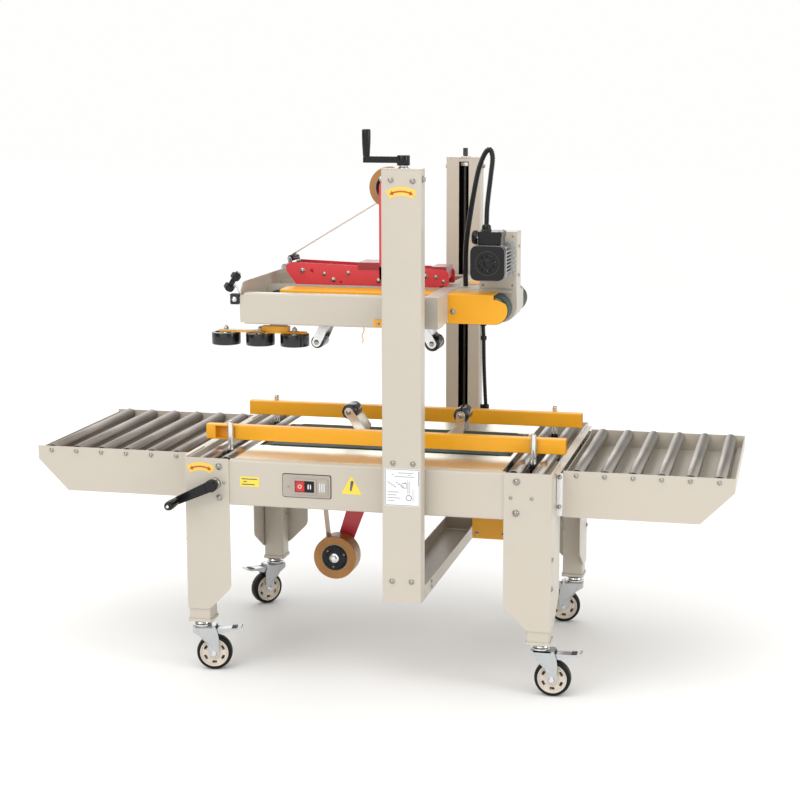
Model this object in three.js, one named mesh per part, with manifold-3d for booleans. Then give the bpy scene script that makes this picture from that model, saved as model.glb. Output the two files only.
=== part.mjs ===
// Carton sealer: a semi-automatic case taper with top and bottom belt drive.
// Millimetres, +Z up. Cartons travel along +X; -Y is the operator's side; the floor is z = 0.
import * as THREE from "three";
import { mergeVertices } from "three/addons/utils/BufferGeometryUtils.js";
import Module from "manifold-3d";

const wasm = await Module();
wasm.setup();

// ---------------------------------------------------------------- driving dimensions
const GAP = 0.4; // clearance between touching pieces
const CENTRE_SHIFT = 29; // brings the middle of the whole outline to y = 0

const BED = { half: 505, side: 370, top: 612, bottom: 486, sheet: 4, flange: 25 };
const LEG = { outer: 509, inner: 381, face: 373, depth: 158, top: 615, bottom: 185, sheet: 4 };
const FOOT = { size: 61, bottom: 147, top: 400, wall: 4 };
const DECK = { half: 372, side: 344.5, top: 613, sheet: 3 };
const TABLE = { start: 527, end: 978, side: 294, top: 610, bottom: 484, sheet: 3, chamfer: 88 };
const ROLLER = { radius: 17, pin: 4, axis: 598, pitch: 75, first: 562, count: 6 };
const BED_ROLLERS = { inner: 400, outer: 462, half: 340 }; // one each side of the rail posts
const CASTER = { x: 480, y: 336, trail: 33, wheel: 50, width: 32 };
const COLUMN = { left: 64, right: 170, outer: 427, inner: 379, bottom: 258, top: 1407, sheet: 3 };
const SCREW = { x: 118, y: 403, radius: 8 };
const CRANK = { x: -421, z: 545, reachX: -97, reachZ: -45 };
const RAIL = { left: -503, y: 193, depth: 28, bottom: 634, top: 676, postY: 216, sheet: 3 };
const GUIDE_BAR_X = 428;
const NEAR_RAIL = { side: -1, right: 520, posts: [-428, 434] };
const FAR_RAIL = { side: 1, right: 512, posts: [-428, 428] };
const RAIL_WINDOW = { left: -476, right: -433 }; // the short opening in the rail's outer wall
const BELT = { y: 124.5, width: 65, thickness: 4 };
const LOWER_BELT = { reach: 320, z: 578, radius: 38 };
const HEAD = { left: -365, right: 187, side: 300, bottom: 978, top: 1063, sheet: 4, inner: 62 };
const GUARD_LEFT = -292;
const GUARD_TOP = 1059.5; // top of the yellow belt guards, just under the head's cross member
const UPPER_BELT = { left: -300, right: 311, z: 1016, radius: 40 };
const TAPE = { half: 45, sheet: 4, radiusUpper: 58, radiusLower: 64, width: 60, bore: 9.5 };
// each tape arm: its pivot, the bend in its cheeks, and its roller's centre and radius
const UPPER_FRONT = { pivot: [-207, 1063], bend: [-200, 950], roller: [-226, 894], radius: 18 };
const UPPER_REAR = { pivot: [-14, 1037], bend: [94, 930], roller: [112, 900], radius: 22 };
const LOWER_FRONT = { pivot: [-125, 530], bend: [-98, 645], roller: [-132, 694], radius: 22 };
const LOWER_REAR = { pivot: [70, 560], bend: [192, 655], roller: [196, 697], radius: 22 };
const PRESSER = { y: 235, xs: [-428, -329, -230], radius: 40, bottom: 912, top: 946, arm: 947 };
const MOTOR = { x: 300, z: 1147, half: 48, front: -199, back: -62 };

// ---------------------------------------------------------------- finishes
const paint = (color, roughness, metalness) => ({ color, roughness, metalness });
const CREAM = paint(0xd8cebf, 0.45, 0.1);
const GOLD = paint(0xf2a92c, 0.45, 0.1);
const RED = paint(0xd23a42, 0.4, 0.1);
const STAINLESS = paint(0xc9c4bc, 0.25, 0.95);
const ZINC = paint(0xb9bcc0, 0.35, 0.9);
const BLACK = paint(0x26262a, 0.55, 0.0);
const RUBBER = paint(0x1b1b1d, 0.8, 0.0);
const BELT_GREEN = paint(0x20362f, 0.7, 0.0);
const KRAFT = paint(0xa9713a, 0.35, 0.0);

// ---------------------------------------------------------------- shape helpers
const EX = new THREE.Vector3(1, 0, 0);
const EY = new THREE.Vector3(0, 1, 0);
const EZ = new THREE.Vector3(0, 0, 1);

// A block between pairs of coordinates, given in any order.
function block(xs, ys, zs) {
  const size = [xs, ys, zs].map(([a, b]) => Math.abs(b - a));
  const middle = [xs, ys, zs].map(([a, b]) => (a + b) / 2);
  return new THREE.BoxGeometry(...size).translate(...middle);
}

// Turns a geometry drawn around +Y so that its axis is the one named, then moves it there.
function along(axis, geometry, a, b) {
  if (axis === "x") return geometry.rotateZ(-Math.PI / 2).translate(0, a, b);
  if (axis === "z") return geometry.rotateX(Math.PI / 2).translate(a, b, 0);
  return geometry.translate(a, 0, b);
}

// A round bar: a and b are its two other coordinates in x, y, z order.
function rod(axis, radius, from, to, a, b, sides = 24) {
  const bar = new THREE.CylinderGeometry(radius, radius, Math.abs(to - from), sides);
  return along(axis, bar.translate(0, (from + to) / 2, 0), a, b);
}

// A turned piece: profile points are [radius, distance along the axis].
function turned(axis, profile, a, b, sides = 32) {
  const points = profile.map(([r, t]) => new THREE.Vector2(r, t));
  return along(axis, new THREE.LatheGeometry(points, sides), a, b);
}

// A plate cut to an outline. Outline axes: "x" -> (y, z), "y" -> (x, z), "z" -> (x, y).
function plate(axis, outline, from, to) {
  const shape = outline instanceof THREE.Shape
    ? outline
    : new THREE.Shape(outline.map(([a, b]) => new THREE.Vector2(a, b)));
  const depth = Math.abs(to - from);
  const low = Math.min(from, to);
  const solid = new THREE.ExtrudeGeometry(shape, { depth, bevelEnabled: false, curveSegments: 12 });
  const basis = new THREE.Matrix4();
  if (axis === "x") basis.makeBasis(EY, EZ, EX).setPosition(low, 0, 0);
  if (axis === "y") basis.makeBasis(EX, EZ, EY.clone().negate()).setPosition(0, low + depth, 0);
  if (axis === "z") basis.makeBasis(EX, EY, EZ).setPosition(0, 0, low);
  return solid.applyMatrix4(basis);
}

// The outline of a bar with round ends, from one [a, b] point to another.
function barOutline(start, end, radiusStart, radiusEnd = radiusStart) {
  const angle = Math.atan2(end[1] - start[1], end[0] - start[0]);
  const shape = new THREE.Shape();
  shape.absarc(end[0], end[1], radiusEnd, angle - Math.PI / 2, angle + Math.PI / 2, false);
  shape.absarc(start[0], start[1], radiusStart, angle + Math.PI / 2, angle + 1.5 * Math.PI, false);
  return shape;
}

function toManifold(geometry) {
  const plain = new THREE.BufferGeometry();
  plain.setAttribute("position", geometry.getAttribute("position"));
  if (geometry.index) plain.setIndex(geometry.index);
  const welded = mergeVertices(plain, 1e-4);
  const mesh = new wasm.Mesh({
    numProp: 3,
    vertProperties: new Float32Array(welded.getAttribute("position").array),
    triVerts: new Uint32Array(welded.index.array),
  });
  mesh.merge();
  return new wasm.Manifold(mesh);
}

function toGeometry(manifold) {
  const mesh = manifold.getMesh();
  const geometry = new THREE.BufferGeometry();
  geometry.setAttribute("position", new THREE.BufferAttribute(mesh.vertProperties, 3));
  geometry.setIndex(new THREE.BufferAttribute(mesh.triVerts, 1));
  geometry.computeVertexNormals();
  return geometry;
}

const join = (...pieces) => toGeometry(wasm.Manifold.union(pieces.map(toManifold)));

const cut = (body, ...tools) =>
  toGeometry(toManifold(body).subtract(wasm.Manifold.union(tools.map(toManifold))));

const group = new THREE.Group();
group.name = "carton_sealer";

function add(name, geometry, finish) {
  const mesh = new THREE.Mesh(geometry, new THREE.MeshStandardMaterial(finish));
  mesh.name = name;
  geometry.translate(0, CENTRE_SHIFT, 0);
  group.add(mesh);
}

const SIDES = [-1, 1];
const CORNERS = [[-1, -1], [1, -1], [-1, 1], [1, 1]];
const cornerName = ([sx, sy]) => `${sy < 0 ? "near" : "far"}_${sx < 0 ? "left" : "right"}`;

// ---------------------------------------------------------------- bed frame with legs and feet
function legPieces(sx, sy) {
  const front = [
    [sx * LEG.inner, LEG.top],
    [sx * LEG.outer, LEG.top],
    [sx * LEG.outer, LEG.bottom],
    [sx * (LEG.inner + 64), LEG.bottom],
    [sx * LEG.inner, LEG.bottom + 64],
  ];
  const back = LEG.face - LEG.depth;
  const side = [
    [sy * LEG.face, LEG.top],
    [sy * LEG.face, LEG.bottom],
    [sy * (back + 95), LEG.bottom],
    [sy * back, LEG.bottom + 60],
    [sy * back, LEG.top],
  ];
  const skin = LEG.face - LEG.sheet;
  const inside = LEG.outer - LEG.sheet;
  const footX = [inside + 0.5, inside + 0.5 - FOOT.size];
  const footY = [skin + 0.5, skin + 0.5 - FOOT.size];
  const foot = cut(
    block(footX.map((v) => sx * v), footY.map((v) => sy * v), [FOOT.bottom, FOOT.top]),
    block(
      [sx * (footX[0] - FOOT.wall), sx * (footX[1] + FOOT.wall)],
      [sy * (footY[0] - FOOT.wall), sy * (footY[1] + FOOT.wall)],
      [FOOT.bottom + 6, FOOT.top + 1],
    ),
  );
  return [
    plate("y", front, sy * LEG.face, sy * skin),
    plate("x", side, sx * inside, sx * LEG.outer),
    foot,
  ];
}

const bedPieces = [];
for (const s of SIDES) {
  const skin = BED.side - BED.sheet;
  const lip = BED.side - BED.flange;
  bedPieces.push(block([-BED.half, BED.half], [s * BED.side, s * skin], [BED.bottom, BED.top]));
  bedPieces.push(block([-381, 381], [s * BED.side, s * lip], [BED.top - 3, BED.top]));
  bedPieces.push(block([-381, 381], [s * BED.side, s * lip], [BED.bottom, BED.bottom + 3]));
  bedPieces.push(block([s * BED.half, s * 501], [-skin, skin], [BED.bottom, BED.top]));
  bedPieces.push(block([s * 501, s * 524], [-330, 330], [BED.top - 3, BED.top]));
  // cross members, the two inner plates and the slider beds under the belts
  bedPieces.push(block([s * 362, s * 378], [-skin - 1, skin + 1], [500, 580]));
  bedPieces.push(block([-363, 363], [s * 60, s * 63], [500, 606]));
  bedPieces.push(block([-285, 285], [s * 62, s * 153], [604, 609]));
  // spacers that hold the columns off the side panels
  bedPieces.push(block([76, 158], [s * (BED.side - 1), s * (COLUMN.inner - GAP)], [500, 600]));
}
for (const [sx, sy] of CORNERS) bedPieces.push(...legPieces(sx, sy));
for (const s of SIDES) {
  // the inner roller of each end is fixed
  bedPieces.push(roller(s * BED_ROLLERS.inner, BED_ROLLERS.half, BED.side - BED.sheet + 1));
}
bedPieces.push(block([-227, -93], [-373, -369], [520, 580])); // switch plate
bedPieces.push(block([236, 340], [-61, 12], [349, 540])); // lower drive case
bedPieces.push(rod("y", 17, -386, -369, CRANK.x, CRANK.z)); // crank bearing
bedPieces.push(rod("y", 8, -367, 367, GUIDE_BAR_X, CRANK.z)); // guide bar of the rail posts
add(
  "bed_frame",
  cut(
    join(...bedPieces),
    block([-193, -138], [-380, -360], [533, 565]),
    rod("y", 8.6, -390, -360, CRANK.x, CRANK.z),
  ),
  CREAM,
);

for (const [name, x0] of [["stop_button", -191.5], ["start_button", -164.5]]) {
  add(name, block([x0, x0 + 25.5], [-375, -363], [534.5, 563.5]), name === "stop_button" ? RED : BLACK);
}

const slots = SIDES.map((s) => block([-362, 362], [s * 88, s * 161], [600, 620]));
add(
  "deck_plate",
  cut(
    block([-DECK.half, DECK.half], [-DECK.side, DECK.side], [DECK.top - DECK.sheet, DECK.top]),
    ...slots,
    block([-215, 300], [-50, 50], [600, 620]),
  ),
  STAINLESS,
);

// ---------------------------------------------------------------- roller tables
function tableFrame(s) {
  const x = (v) => s * v;
  const panel = [
    [x(TABLE.start), TABLE.top],
    [x(TABLE.end), TABLE.top],
    [x(TABLE.end), TABLE.bottom + TABLE.chamfer],
    [x(TABLE.end - TABLE.chamfer), TABLE.bottom],
    [x(TABLE.start), TABLE.bottom],
  ];
  const skin = TABLE.side - TABLE.sheet;
  const pieces = [];
  for (const t of SIDES) {
    pieces.push(plate("y", panel, t * TABLE.side, t * skin));
    pieces.push(block([x(LEG.outer + GAP), x(528)], [t * 268, t * TABLE.side], [505, 598]));
  }
  pieces.push(block([x(TABLE.start), x(TABLE.start + 3)], [-skin - 1, skin + 1], [TABLE.bottom, 598]));
  // the tray under the rollers steps up to a low wall at the free end
  pieces.push(block([x(TABLE.end - 3), x(TABLE.end)], [-skin - 1, skin + 1], [572, 602]));
  pieces.push(block([x(957), x(TABLE.end)], [-skin - 1, skin + 1], [572, 575]));
  pieces.push(block([x(957), x(960)], [-skin - 1, skin + 1], [558, 575]));
  pieces.push(block([x(TABLE.start), x(960)], [-skin - 1, skin + 1], [558, 561]));
  return join(...pieces);
}

// A free-running roller with its two axle pins.
function roller(x, half, reach) {
  const profile = [
    [0, -reach], [ROLLER.pin, -reach], [ROLLER.pin, -half], [ROLLER.radius, -half],
    [ROLLER.radius, half], [ROLLER.pin, half], [ROLLER.pin, reach], [0, reach],
  ];
  return turned("y", profile, x, ROLLER.axis, 16);
}

for (const s of SIDES) {
  const side = s < 0 ? "left" : "right";
  add(`table_frame_${side}`, tableFrame(s), CREAM);
  const reach = TABLE.side - TABLE.sheet - GAP;
  for (let i = 0; i < ROLLER.count; i += 1) {
    const x = s * (ROLLER.first + i * ROLLER.pitch);
    add(`table_roller_${side}_${i + 1}`, roller(x, reach - 5, reach), ZINC);
  }
  const bedReach = BED.side - BED.sheet - GAP;
  add(`bed_roller_${side}`, roller(s * BED_ROLLERS.outer, BED_ROLLERS.half, bedReach), ZINC);
}

// ---------------------------------------------------------------- casters
// Drawn with the wheel trailing along +X, then turned about the stem.
const CASTER_TURN = { near_left: 12, near_right: 0, far_left: 228, far_right: 188 };

function placeCaster(geometry, corner) {
  const turn = THREE.MathUtils.degToRad(CASTER_TURN[cornerName(corner)]);
  return geometry.rotateZ(turn).translate(corner[0] * CASTER.x, corner[1] * CASTER.y, 0);
}

function casterFork() {
  const cheek = [
    [-24, 128], [36, 128], [44, 92], [CASTER.trail + 13, 50], [CASTER.trail + 8, 39],
    [CASTER.trail - 8, 39], [CASTER.trail - 13, 50], [-26, 112],
  ];
  return join(
    block([-26, 36], [-22, 22], [123, 128]),
    plate("y", cheek, -22, -19.4),
    plate("y", cheek, 19.4, 22),
    rod("z", 25, 127, 140, 0, 0),
    rod("z", 17, 139, FOOT.bottom - GAP, 0, 0),
    rod("y", 5, -27, 27, CASTER.trail, CASTER.wheel, 16),
  );
}

function casterWheel() {
  const h = CASTER.width / 2;
  const profile = [
    [5.5, -h - 2], [18, -h - 2], [34, -h], [45, -h], [CASTER.wheel, -h + 6],
    [CASTER.wheel, h - 6], [45, h], [34, h], [18, h + 2], [5.5, h + 2], [5.5, -h - 2],
  ];
  return turned("y", profile, CASTER.trail, CASTER.wheel, 28);
}

function brakePedal() {
  const outline = [[38, 108], [42, 118], [64, 121], [110, 124], [113, 119], [70, 112], [52, 104]];
  return plate("y", outline, -16, 16);
}

for (const corner of CORNERS) {
  const name = cornerName(corner);
  add(`caster_fork_${name}`, placeCaster(casterFork(), corner), ZINC);
  add(`caster_wheel_${name}`, placeCaster(casterWheel(), corner), RUBBER);
  add(`brake_pedal_${name}`, placeCaster(brakePedal(), corner), ZINC);
}

// ---------------------------------------------------------------- columns, tie and lead screws
function column(s) {
  const t = COLUMN.sheet;
  return join(
    cut(
      block([COLUMN.left, COLUMN.right], [s * COLUMN.outer, s * COLUMN.inner], [COLUMN.bottom, COLUMN.top]),
      block(
        [COLUMN.left + t, COLUMN.right - t],
        [s * (COLUMN.outer - t), s * (COLUMN.inner + t)],
        [COLUMN.bottom - 1, COLUMN.top - t],
      ),
      block([103, 133], [s * (COLUMN.inner - 1), s * (COLUMN.inner + t + 1)], [640, 1394]),
      rod("z", SCREW.radius + GAP, COLUMN.top - t - 1, COLUMN.top + 1, SCREW.x, s * SCREW.y),
    ),
    cut(
      block(
        [COLUMN.left + 1, COLUMN.right - 1],
        [s * (COLUMN.outer - 1), s * (COLUMN.inner + 1)],
        [300, 312],
      ),
      rod("z", SCREW.radius + GAP, 304, 320, SCREW.x, s * SCREW.y),
    ),
  );
}

function tie() {
  const reach = COLUMN.inner + 1;
  return join(
    block([COLUMN.left, COLUMN.right], [-COLUMN.inner + GAP, reach], [COLUMN.bottom - 3, COLUMN.bottom]),
    block([COLUMN.left, COLUMN.left + 3], [-COLUMN.inner + GAP, reach], [COLUMN.bottom - 3, 295]),
    block([COLUMN.right - 3, COLUMN.right], [-COLUMN.inner + GAP, reach], [COLUMN.bottom - 3, 295]),
  );
}

add("column_near", column(-1), CREAM);
add("column_far_with_tie", join(column(1), tie()), CREAM);
add("lift_screw_near", rod("z", SCREW.radius, 304 + GAP, 1412, SCREW.x, -SCREW.y, 16), ZINC);
add("lift_screw_far", rod("z", SCREW.radius, 304 + GAP, 1434, SCREW.x, SCREW.y, 16), ZINC);
add(
  "lift_crank",
  join(
    rod("z", 10, 1412 + GAP, 1418, SCREW.x, -SCREW.y),
    rod("z", 17, 1417, 1441, SCREW.x, -SCREW.y),
    plate("z", barOutline([SCREW.x, -SCREW.y], [20, -SCREW.y], 13, 9), 1421, 1436),
    rod("z", 4, 1435, 1445, 20, -SCREW.y, 12),
  ),
  BLACK,
);
const gripProfile = [
  [4.5, 0], [8, 0], [9, 12], [10.5, 45], [10, 64], [7, 69], [0, 70], [0, 12], [4.5, 12], [4.5, 0],
];
add(
  "lift_crank_grip",
  turned("z", gripProfile, 20, -SCREW.y, 24).translate(0, 0, 1436 + GAP),
  BLACK,
);

// ---------------------------------------------------------------- width crank and side rails
const gripX = CRANK.x + CRANK.reachX;
const gripZ = CRANK.z + CRANK.reachZ;
add(
  "width_crank",
  join(
    rod("y", 8, -400, 355, CRANK.x, CRANK.z),
    rod("y", 17, -413, -392, CRANK.x, CRANK.z),
    plate("y", barOutline([CRANK.x, CRANK.z], [gripX, gripZ], 14, 10), -412, -399),
    turned("y", [[0, -485], [8, -485], [11, -480], [10, -440], [8, -411], [0, -411]], gripX, gripZ, 24),
  ),
  BLACK,
);

function sideRail({ side: s, right, posts }) {
  const inner = RAIL.y - RAIL.depth / 2;
  const outer = RAIL.y + RAIL.depth / 2;
  const t = RAIL.sheet;
  const pieces = [
    block([RAIL.left, right], [s * inner, s * (inner + t)], [RAIL.bottom, RAIL.top]),
    block([RAIL.left, right], [s * inner, s * outer], [RAIL.top - t, RAIL.top]),
    block([RAIL.left, right], [s * inner, s * outer], [RAIL.bottom, RAIL.bottom + t]),
    block([RAIL_WINDOW.right, right], [s * (outer - t), s * outer], [RAIL.bottom, RAIL.top]),
    block([RAIL.left, RAIL_WINDOW.left], [s * (outer - t), s * outer], [RAIL.bottom, RAIL.top]),
  ];
  for (const x of posts) {
    pieces.push(rod("z", 8, 555, 690, x, s * RAIL.postY, 16));
    pieces.push(block([x - 9, x + 9], [s * (outer - 1), s * RAIL.postY], [644, 668]));
    pieces.push(cut(
      block([x - 17, x + 17], [s * (RAIL.postY - 15), s * (RAIL.postY + 15)], [528, 562]),
      rod("y", 8.6, s * (RAIL.postY - 20), s * (RAIL.postY + 20), x < 0 ? CRANK.x : GUIDE_BAR_X, CRANK.z),
    ));
  }
  return join(...pieces);
}

add("side_rail_near", sideRail(NEAR_RAIL), GOLD);
add("side_rail_far", sideRail(FAR_RAIL), GOLD);

// ---------------------------------------------------------------- drive belts
function beltLoop(x0, x1, z, radius, y) {
  const loop = barOutline([x0, z], [x1, z], radius);
  const hole = barOutline([x0, z], [x1, z], radius - BELT.thickness);
  loop.holes.push(new THREE.Path(hole.getPoints(12).reverse()));
  return plate("y", loop, y - BELT.width / 2, y + BELT.width / 2);
}

for (const s of SIDES) {
  const name = s < 0 ? "near" : "far";
  const low = beltLoop(-LOWER_BELT.reach, LOWER_BELT.reach, LOWER_BELT.z, LOWER_BELT.radius, s * BELT.y);
  add(`lower_belt_${name}`, low, BELT_GREEN);
  const high = beltLoop(UPPER_BELT.left, UPPER_BELT.right, UPPER_BELT.z, UPPER_BELT.radius, s * BELT.y);
  add(`upper_belt_${name}`, high, BELT_GREEN);
}

// ---------------------------------------------------------------- head frame
function carriage(s) {
  return join(
    block([76, 160], [s * (COLUMN.inner - 1.5), s * (COLUMN.inner - 5)], [985, 1055]),
    block([84, 90], [s * (COLUMN.inner - 2), s * (HEAD.side - 2)], [985, 1055]),
    block([146, 152], [s * (COLUMN.inner - 2), s * (HEAD.side - 2)], [985, 1055]),
    cut(
      join(
        block([105, 131], [s * (COLUMN.inner - 4), s * (COLUMN.inner + 8)], [990, 1050]),
        block([96, 140], [s * (COLUMN.inner + 6), s * (COLUMN.outer - 10)], [990, 1050]),
      ),
      rod("z", SCREW.radius + 0.6, 980, 1060, SCREW.x, s * SCREW.y),
    ),
  );
}

function presserArm(s, withRollers) {
  const y = s * PRESSER.y;
  const armOutline = barOutline([PRESSER.xs[0] - 22, y], [PRESSER.xs[2] + 22, y], 15);
  const pieces = [
    plate("z", armOutline, PRESSER.arm, PRESSER.arm + 5),
    block([-300, -250], [y - 4, y + 4], [PRESSER.arm + 4, HEAD.bottom + 1]),
  ];
  for (const x of PRESSER.xs) {
    pieces.push(rod("z", 5, PRESSER.bottom + 4, PRESSER.arm + 1, x, y, 12));
    pieces.push(rod("z", 8, PRESSER.arm + 4, PRESSER.arm + 10, x, y, 6));
    if (withRollers) pieces.push(rod("z", PRESSER.radius, PRESSER.bottom, PRESSER.top, x, y, 28));
  }
  return pieces;
}

const headPieces = [];
for (const s of SIDES) {
  const skin = HEAD.side - HEAD.sheet;
  headPieces.push(block([HEAD.left, HEAD.right], [s * HEAD.side, s * skin], [HEAD.bottom, HEAD.top]));
  headPieces.push(block([HEAD.left, HEAD.right], [s * HEAD.side, s * 270], [HEAD.top - 3, HEAD.top]));
  headPieces.push(block([HEAD.left, HEAD.right], [s * HEAD.side, s * 230], [HEAD.bottom, HEAD.bottom + 3]));
  headPieces.push(block([HEAD.left, 345], [s * (HEAD.inner - 2), s * (HEAD.inner + 1)], [985, HEAD.top]));
  headPieces.push(carriage(s));
  headPieces.push(...presserArm(s, s > 0));
}
const infeedPlate = [
  [-HEAD.side, HEAD.bottom], [HEAD.side, HEAD.bottom], [HEAD.side, HEAD.top], [272, 1091],
  [-272, 1091], [-HEAD.side, HEAD.top],
];
headPieces.push(plate("x", infeedPlate, HEAD.left, HEAD.left + HEAD.sheet));
headPieces.push(cut(
  block([HEAD.right - HEAD.sheet, HEAD.right], [-HEAD.side, HEAD.side], [HEAD.bottom, HEAD.top]),
  block([HEAD.right - 10, HEAD.right + 5], [-52, 52], [970, 1055]),
  ...SIDES.map((s) => block([HEAD.right - 10, HEAD.right + 5], [s * 88, s * 171], [970, 1060])),
));
headPieces.push(block([143, HEAD.right], [-HEAD.side, HEAD.side], [HEAD.top - 3, HEAD.top]));
headPieces.push(block([HEAD.right - 1, 345], [-88, 88], [1056.5, 1060])); // cover between the belts
// far belt guard
headPieces.push(plate("y", barOutline([UPPER_BELT.left, UPPER_BELT.z], [312, UPPER_BELT.z], 38), 165, 168));
headPieces.push(block([GUARD_LEFT, 312], [165, 168], [1040, GUARD_TOP]));
headPieces.push(block([GUARD_LEFT, 312], [HEAD.inner, 168], [GUARD_TOP - 3, GUARD_TOP]));
// drive case around the chain from the motor down to the belt shaft
const caseOutline = new THREE.Shape();
caseOutline.moveTo(252, 1222);
caseOutline.lineTo(252, 1040);
caseOutline.absarc(312, UPPER_BELT.z, 46, 2.7, 2 * Math.PI, false);
caseOutline.lineTo(356, 1060);
caseOutline.lineTo(356, 1222);
headPieces.push(plate("y", caseOutline, -61, 10));
add(
  "head_frame",
  cut(join(...headPieces), block([150, 180], [10, 45], [1050, 1070])),
  CREAM,
);

const guardFace = barOutline([UPPER_BELT.left, UPPER_BELT.z], [312, UPPER_BELT.z], 38);
add(
  "belt_guard_near",
  join(
    plate("y", guardFace, -168, -165),
    block([GUARD_LEFT, 312], [-168, -165], [1040, GUARD_TOP]),
    block([GUARD_LEFT, 312], [-168, -90], [GUARD_TOP - 3, GUARD_TOP]),
  ),
  GOLD,
);

for (const [i, x] of PRESSER.xs.entries()) {
  const h = PRESSER.bottom;
  const profile = [
    [0, h], [PRESSER.radius - 2, h], [PRESSER.radius, h + 2], [PRESSER.radius, PRESSER.top],
    [5.5, PRESSER.top], [5.5, h + 3.5], [0, h + 3.5],
  ];
  add(`press_roller_${i + 1}`, turned("z", profile, x, -PRESSER.y), RUBBER);
}

// ---------------------------------------------------------------- motor and its conduit
const m = MOTOR;
const motorOutline = new THREE.Shape();
for (const [i, [cx, cz]] of [[1, 1], [-1, 1], [-1, -1], [1, -1]].entries()) {
  const r = 20;
  const start = (i * Math.PI) / 2;
  motorOutline.absarc(m.x + cx * (m.half - r), m.z + cz * (m.half - r), r, start, start + Math.PI / 2, false);
}
add(
  "drive_motor",
  join(
    plate("y", motorOutline, m.front, -86),
    block([262, 352], [-90, m.back], [1104, 1192]),
    block([269, 333], [-178, -106], [1190, 1230]),
    rod("z", 12, 1229, 1246, 288, -150),
    rod("x", 15, 252, 270, -142, 1212),
  ),
  BLACK,
);

const conduitRoute = [
  [288, -150, 1248], [290, -150, 1300], [299, -150, 1380], [303, -148, 1425], [296, -145, 1447],
  [281, -140, 1438], [262, -130, 1395], [245, -110, 1330], [228, -80, 1260], [213, -50, 1190],
  [205, -22, 1120], [203, -6, 1064],
].map((p) => new THREE.Vector3(...p));
const conduitSection = new THREE.Shape().absarc(0, 0, 7.5, 0, 2 * Math.PI, false);
add(
  "motor_conduit",
  new THREE.ExtrudeGeometry(conduitSection, {
    extrudePath: new THREE.CatmullRomCurve3(conduitRoute),
    steps: 36,
    curveSegments: 5,
    bevelEnabled: false,
  }),
  BLACK,
);

// ---------------------------------------------------------------- tape heads
// A swinging arm with its roller: two bent cheeks, a pivot tube and the roller between them.
function tapeArm({ pivot, bend, roller: end, radius }) {
  const links = [barOutline(pivot, bend, 13), barOutline(bend, end, 13, 12)];
  const armCheeks = SIDES.flatMap((s) => links.map((link) => plate("y", link, s * 38, s * 35)));
  return join(
    ...armCheeks,
    rod("y", 9, -40.5, 40.5, pivot[0], pivot[1]),
    rod("y", radius, -34, 34, end[0], end[1], 28),
    rod("y", 6, -39, 39, end[0], end[1], 12),
  );
}

// A roll's axle stands on the arm at one side of the roll, with a collar at the other.
function rollAxle([x, z], armSide) {
  return [
    rod("y", 9, armSide * TAPE.half, -armSide * 38, x, z),
    rod("y", 14, -armSide * 31, -armSide * 38, x, z),
  ];
}

function rollArm(start, end, radiusStart, radiusEnd, armSide) {
  const outline = barOutline(start, end, radiusStart, radiusEnd);
  return plate("y", outline, armSide * TAPE.half, armSide * (TAPE.half - TAPE.sheet));
}

function cheeks(outline) {
  return SIDES.map((s) => plate("y", outline, s * TAPE.half, s * (TAPE.half - TAPE.sheet)));
}
const spacer = (xs, zs) => block(xs, [-TAPE.half + 1, TAPE.half - 1], zs);

const UPPER_ROLL = [-12, 1337];
const upperCheek = [
  [-250, 1000], [-232, 985], [120, 985], [136, 1000], [136, 1066], [162, 1066], [162, 1100], [152, 1112],
  [-60, 1116], [-296, 1124], [-312, 1116], [-312, 1100], [-280, 1058], [-250, 1040],
];
add(
  "tape_head_upper",
  join(
    ...cheeks(upperCheek),
    spacer([-302, -290], [1096, 1110]),
    spacer([60, 72], [1092, 1106]),
    spacer([144, 154], [1084, 1100]),
    rollArm([-12, 1090], UPPER_ROLL, 26, 26, -1),
    ...rollAxle(UPPER_ROLL, -1),
  ),
  RED,
);
add("upper_front_arm", tapeArm(UPPER_FRONT), ZINC);
add("upper_rear_arm", tapeArm(UPPER_REAR), ZINC);

const LOWER_ROLL = [-180, 257];
const lowerCheek = [
  [-232, 600], [-240, 590], [-240, 512], [-205, 500], [130, 500], [145, 512], [145, 600],
];
add(
  "tape_head_lower",
  join(
    ...cheeks(lowerCheek),
    spacer([-232, -220], [520, 534]),
    spacer([20, 34], [506, 518]),
    spacer([128, 140], [508, 522]),
    rollArm([-90, 515], LOWER_ROLL, 30, 22, 1),
    ...rollAxle(LOWER_ROLL, 1),
  ),
  RED,
);
add("lower_front_arm", tapeArm(LOWER_FRONT), ZINC);
add("lower_rear_arm", tapeArm(LOWER_REAR), ZINC);

function tapeRoll([x, z], radius) {
  const h = TAPE.width / 2;
  const profile = [[TAPE.bore, -h], [radius, -h], [radius, h], [TAPE.bore, h], [TAPE.bore, -h]];
  return turned("y", profile, x, z, 36);
}

add("tape_roll_upper", tapeRoll(UPPER_ROLL, TAPE.radiusUpper), KRAFT);
add("tape_roll_lower", tapeRoll(LOWER_ROLL, TAPE.radiusLower), KRAFT);

export default group;
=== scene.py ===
"""Carton sealer: the detailed model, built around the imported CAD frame."""
import math
import bmesh
import bpy
from mathutils import Matrix, Vector


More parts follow.
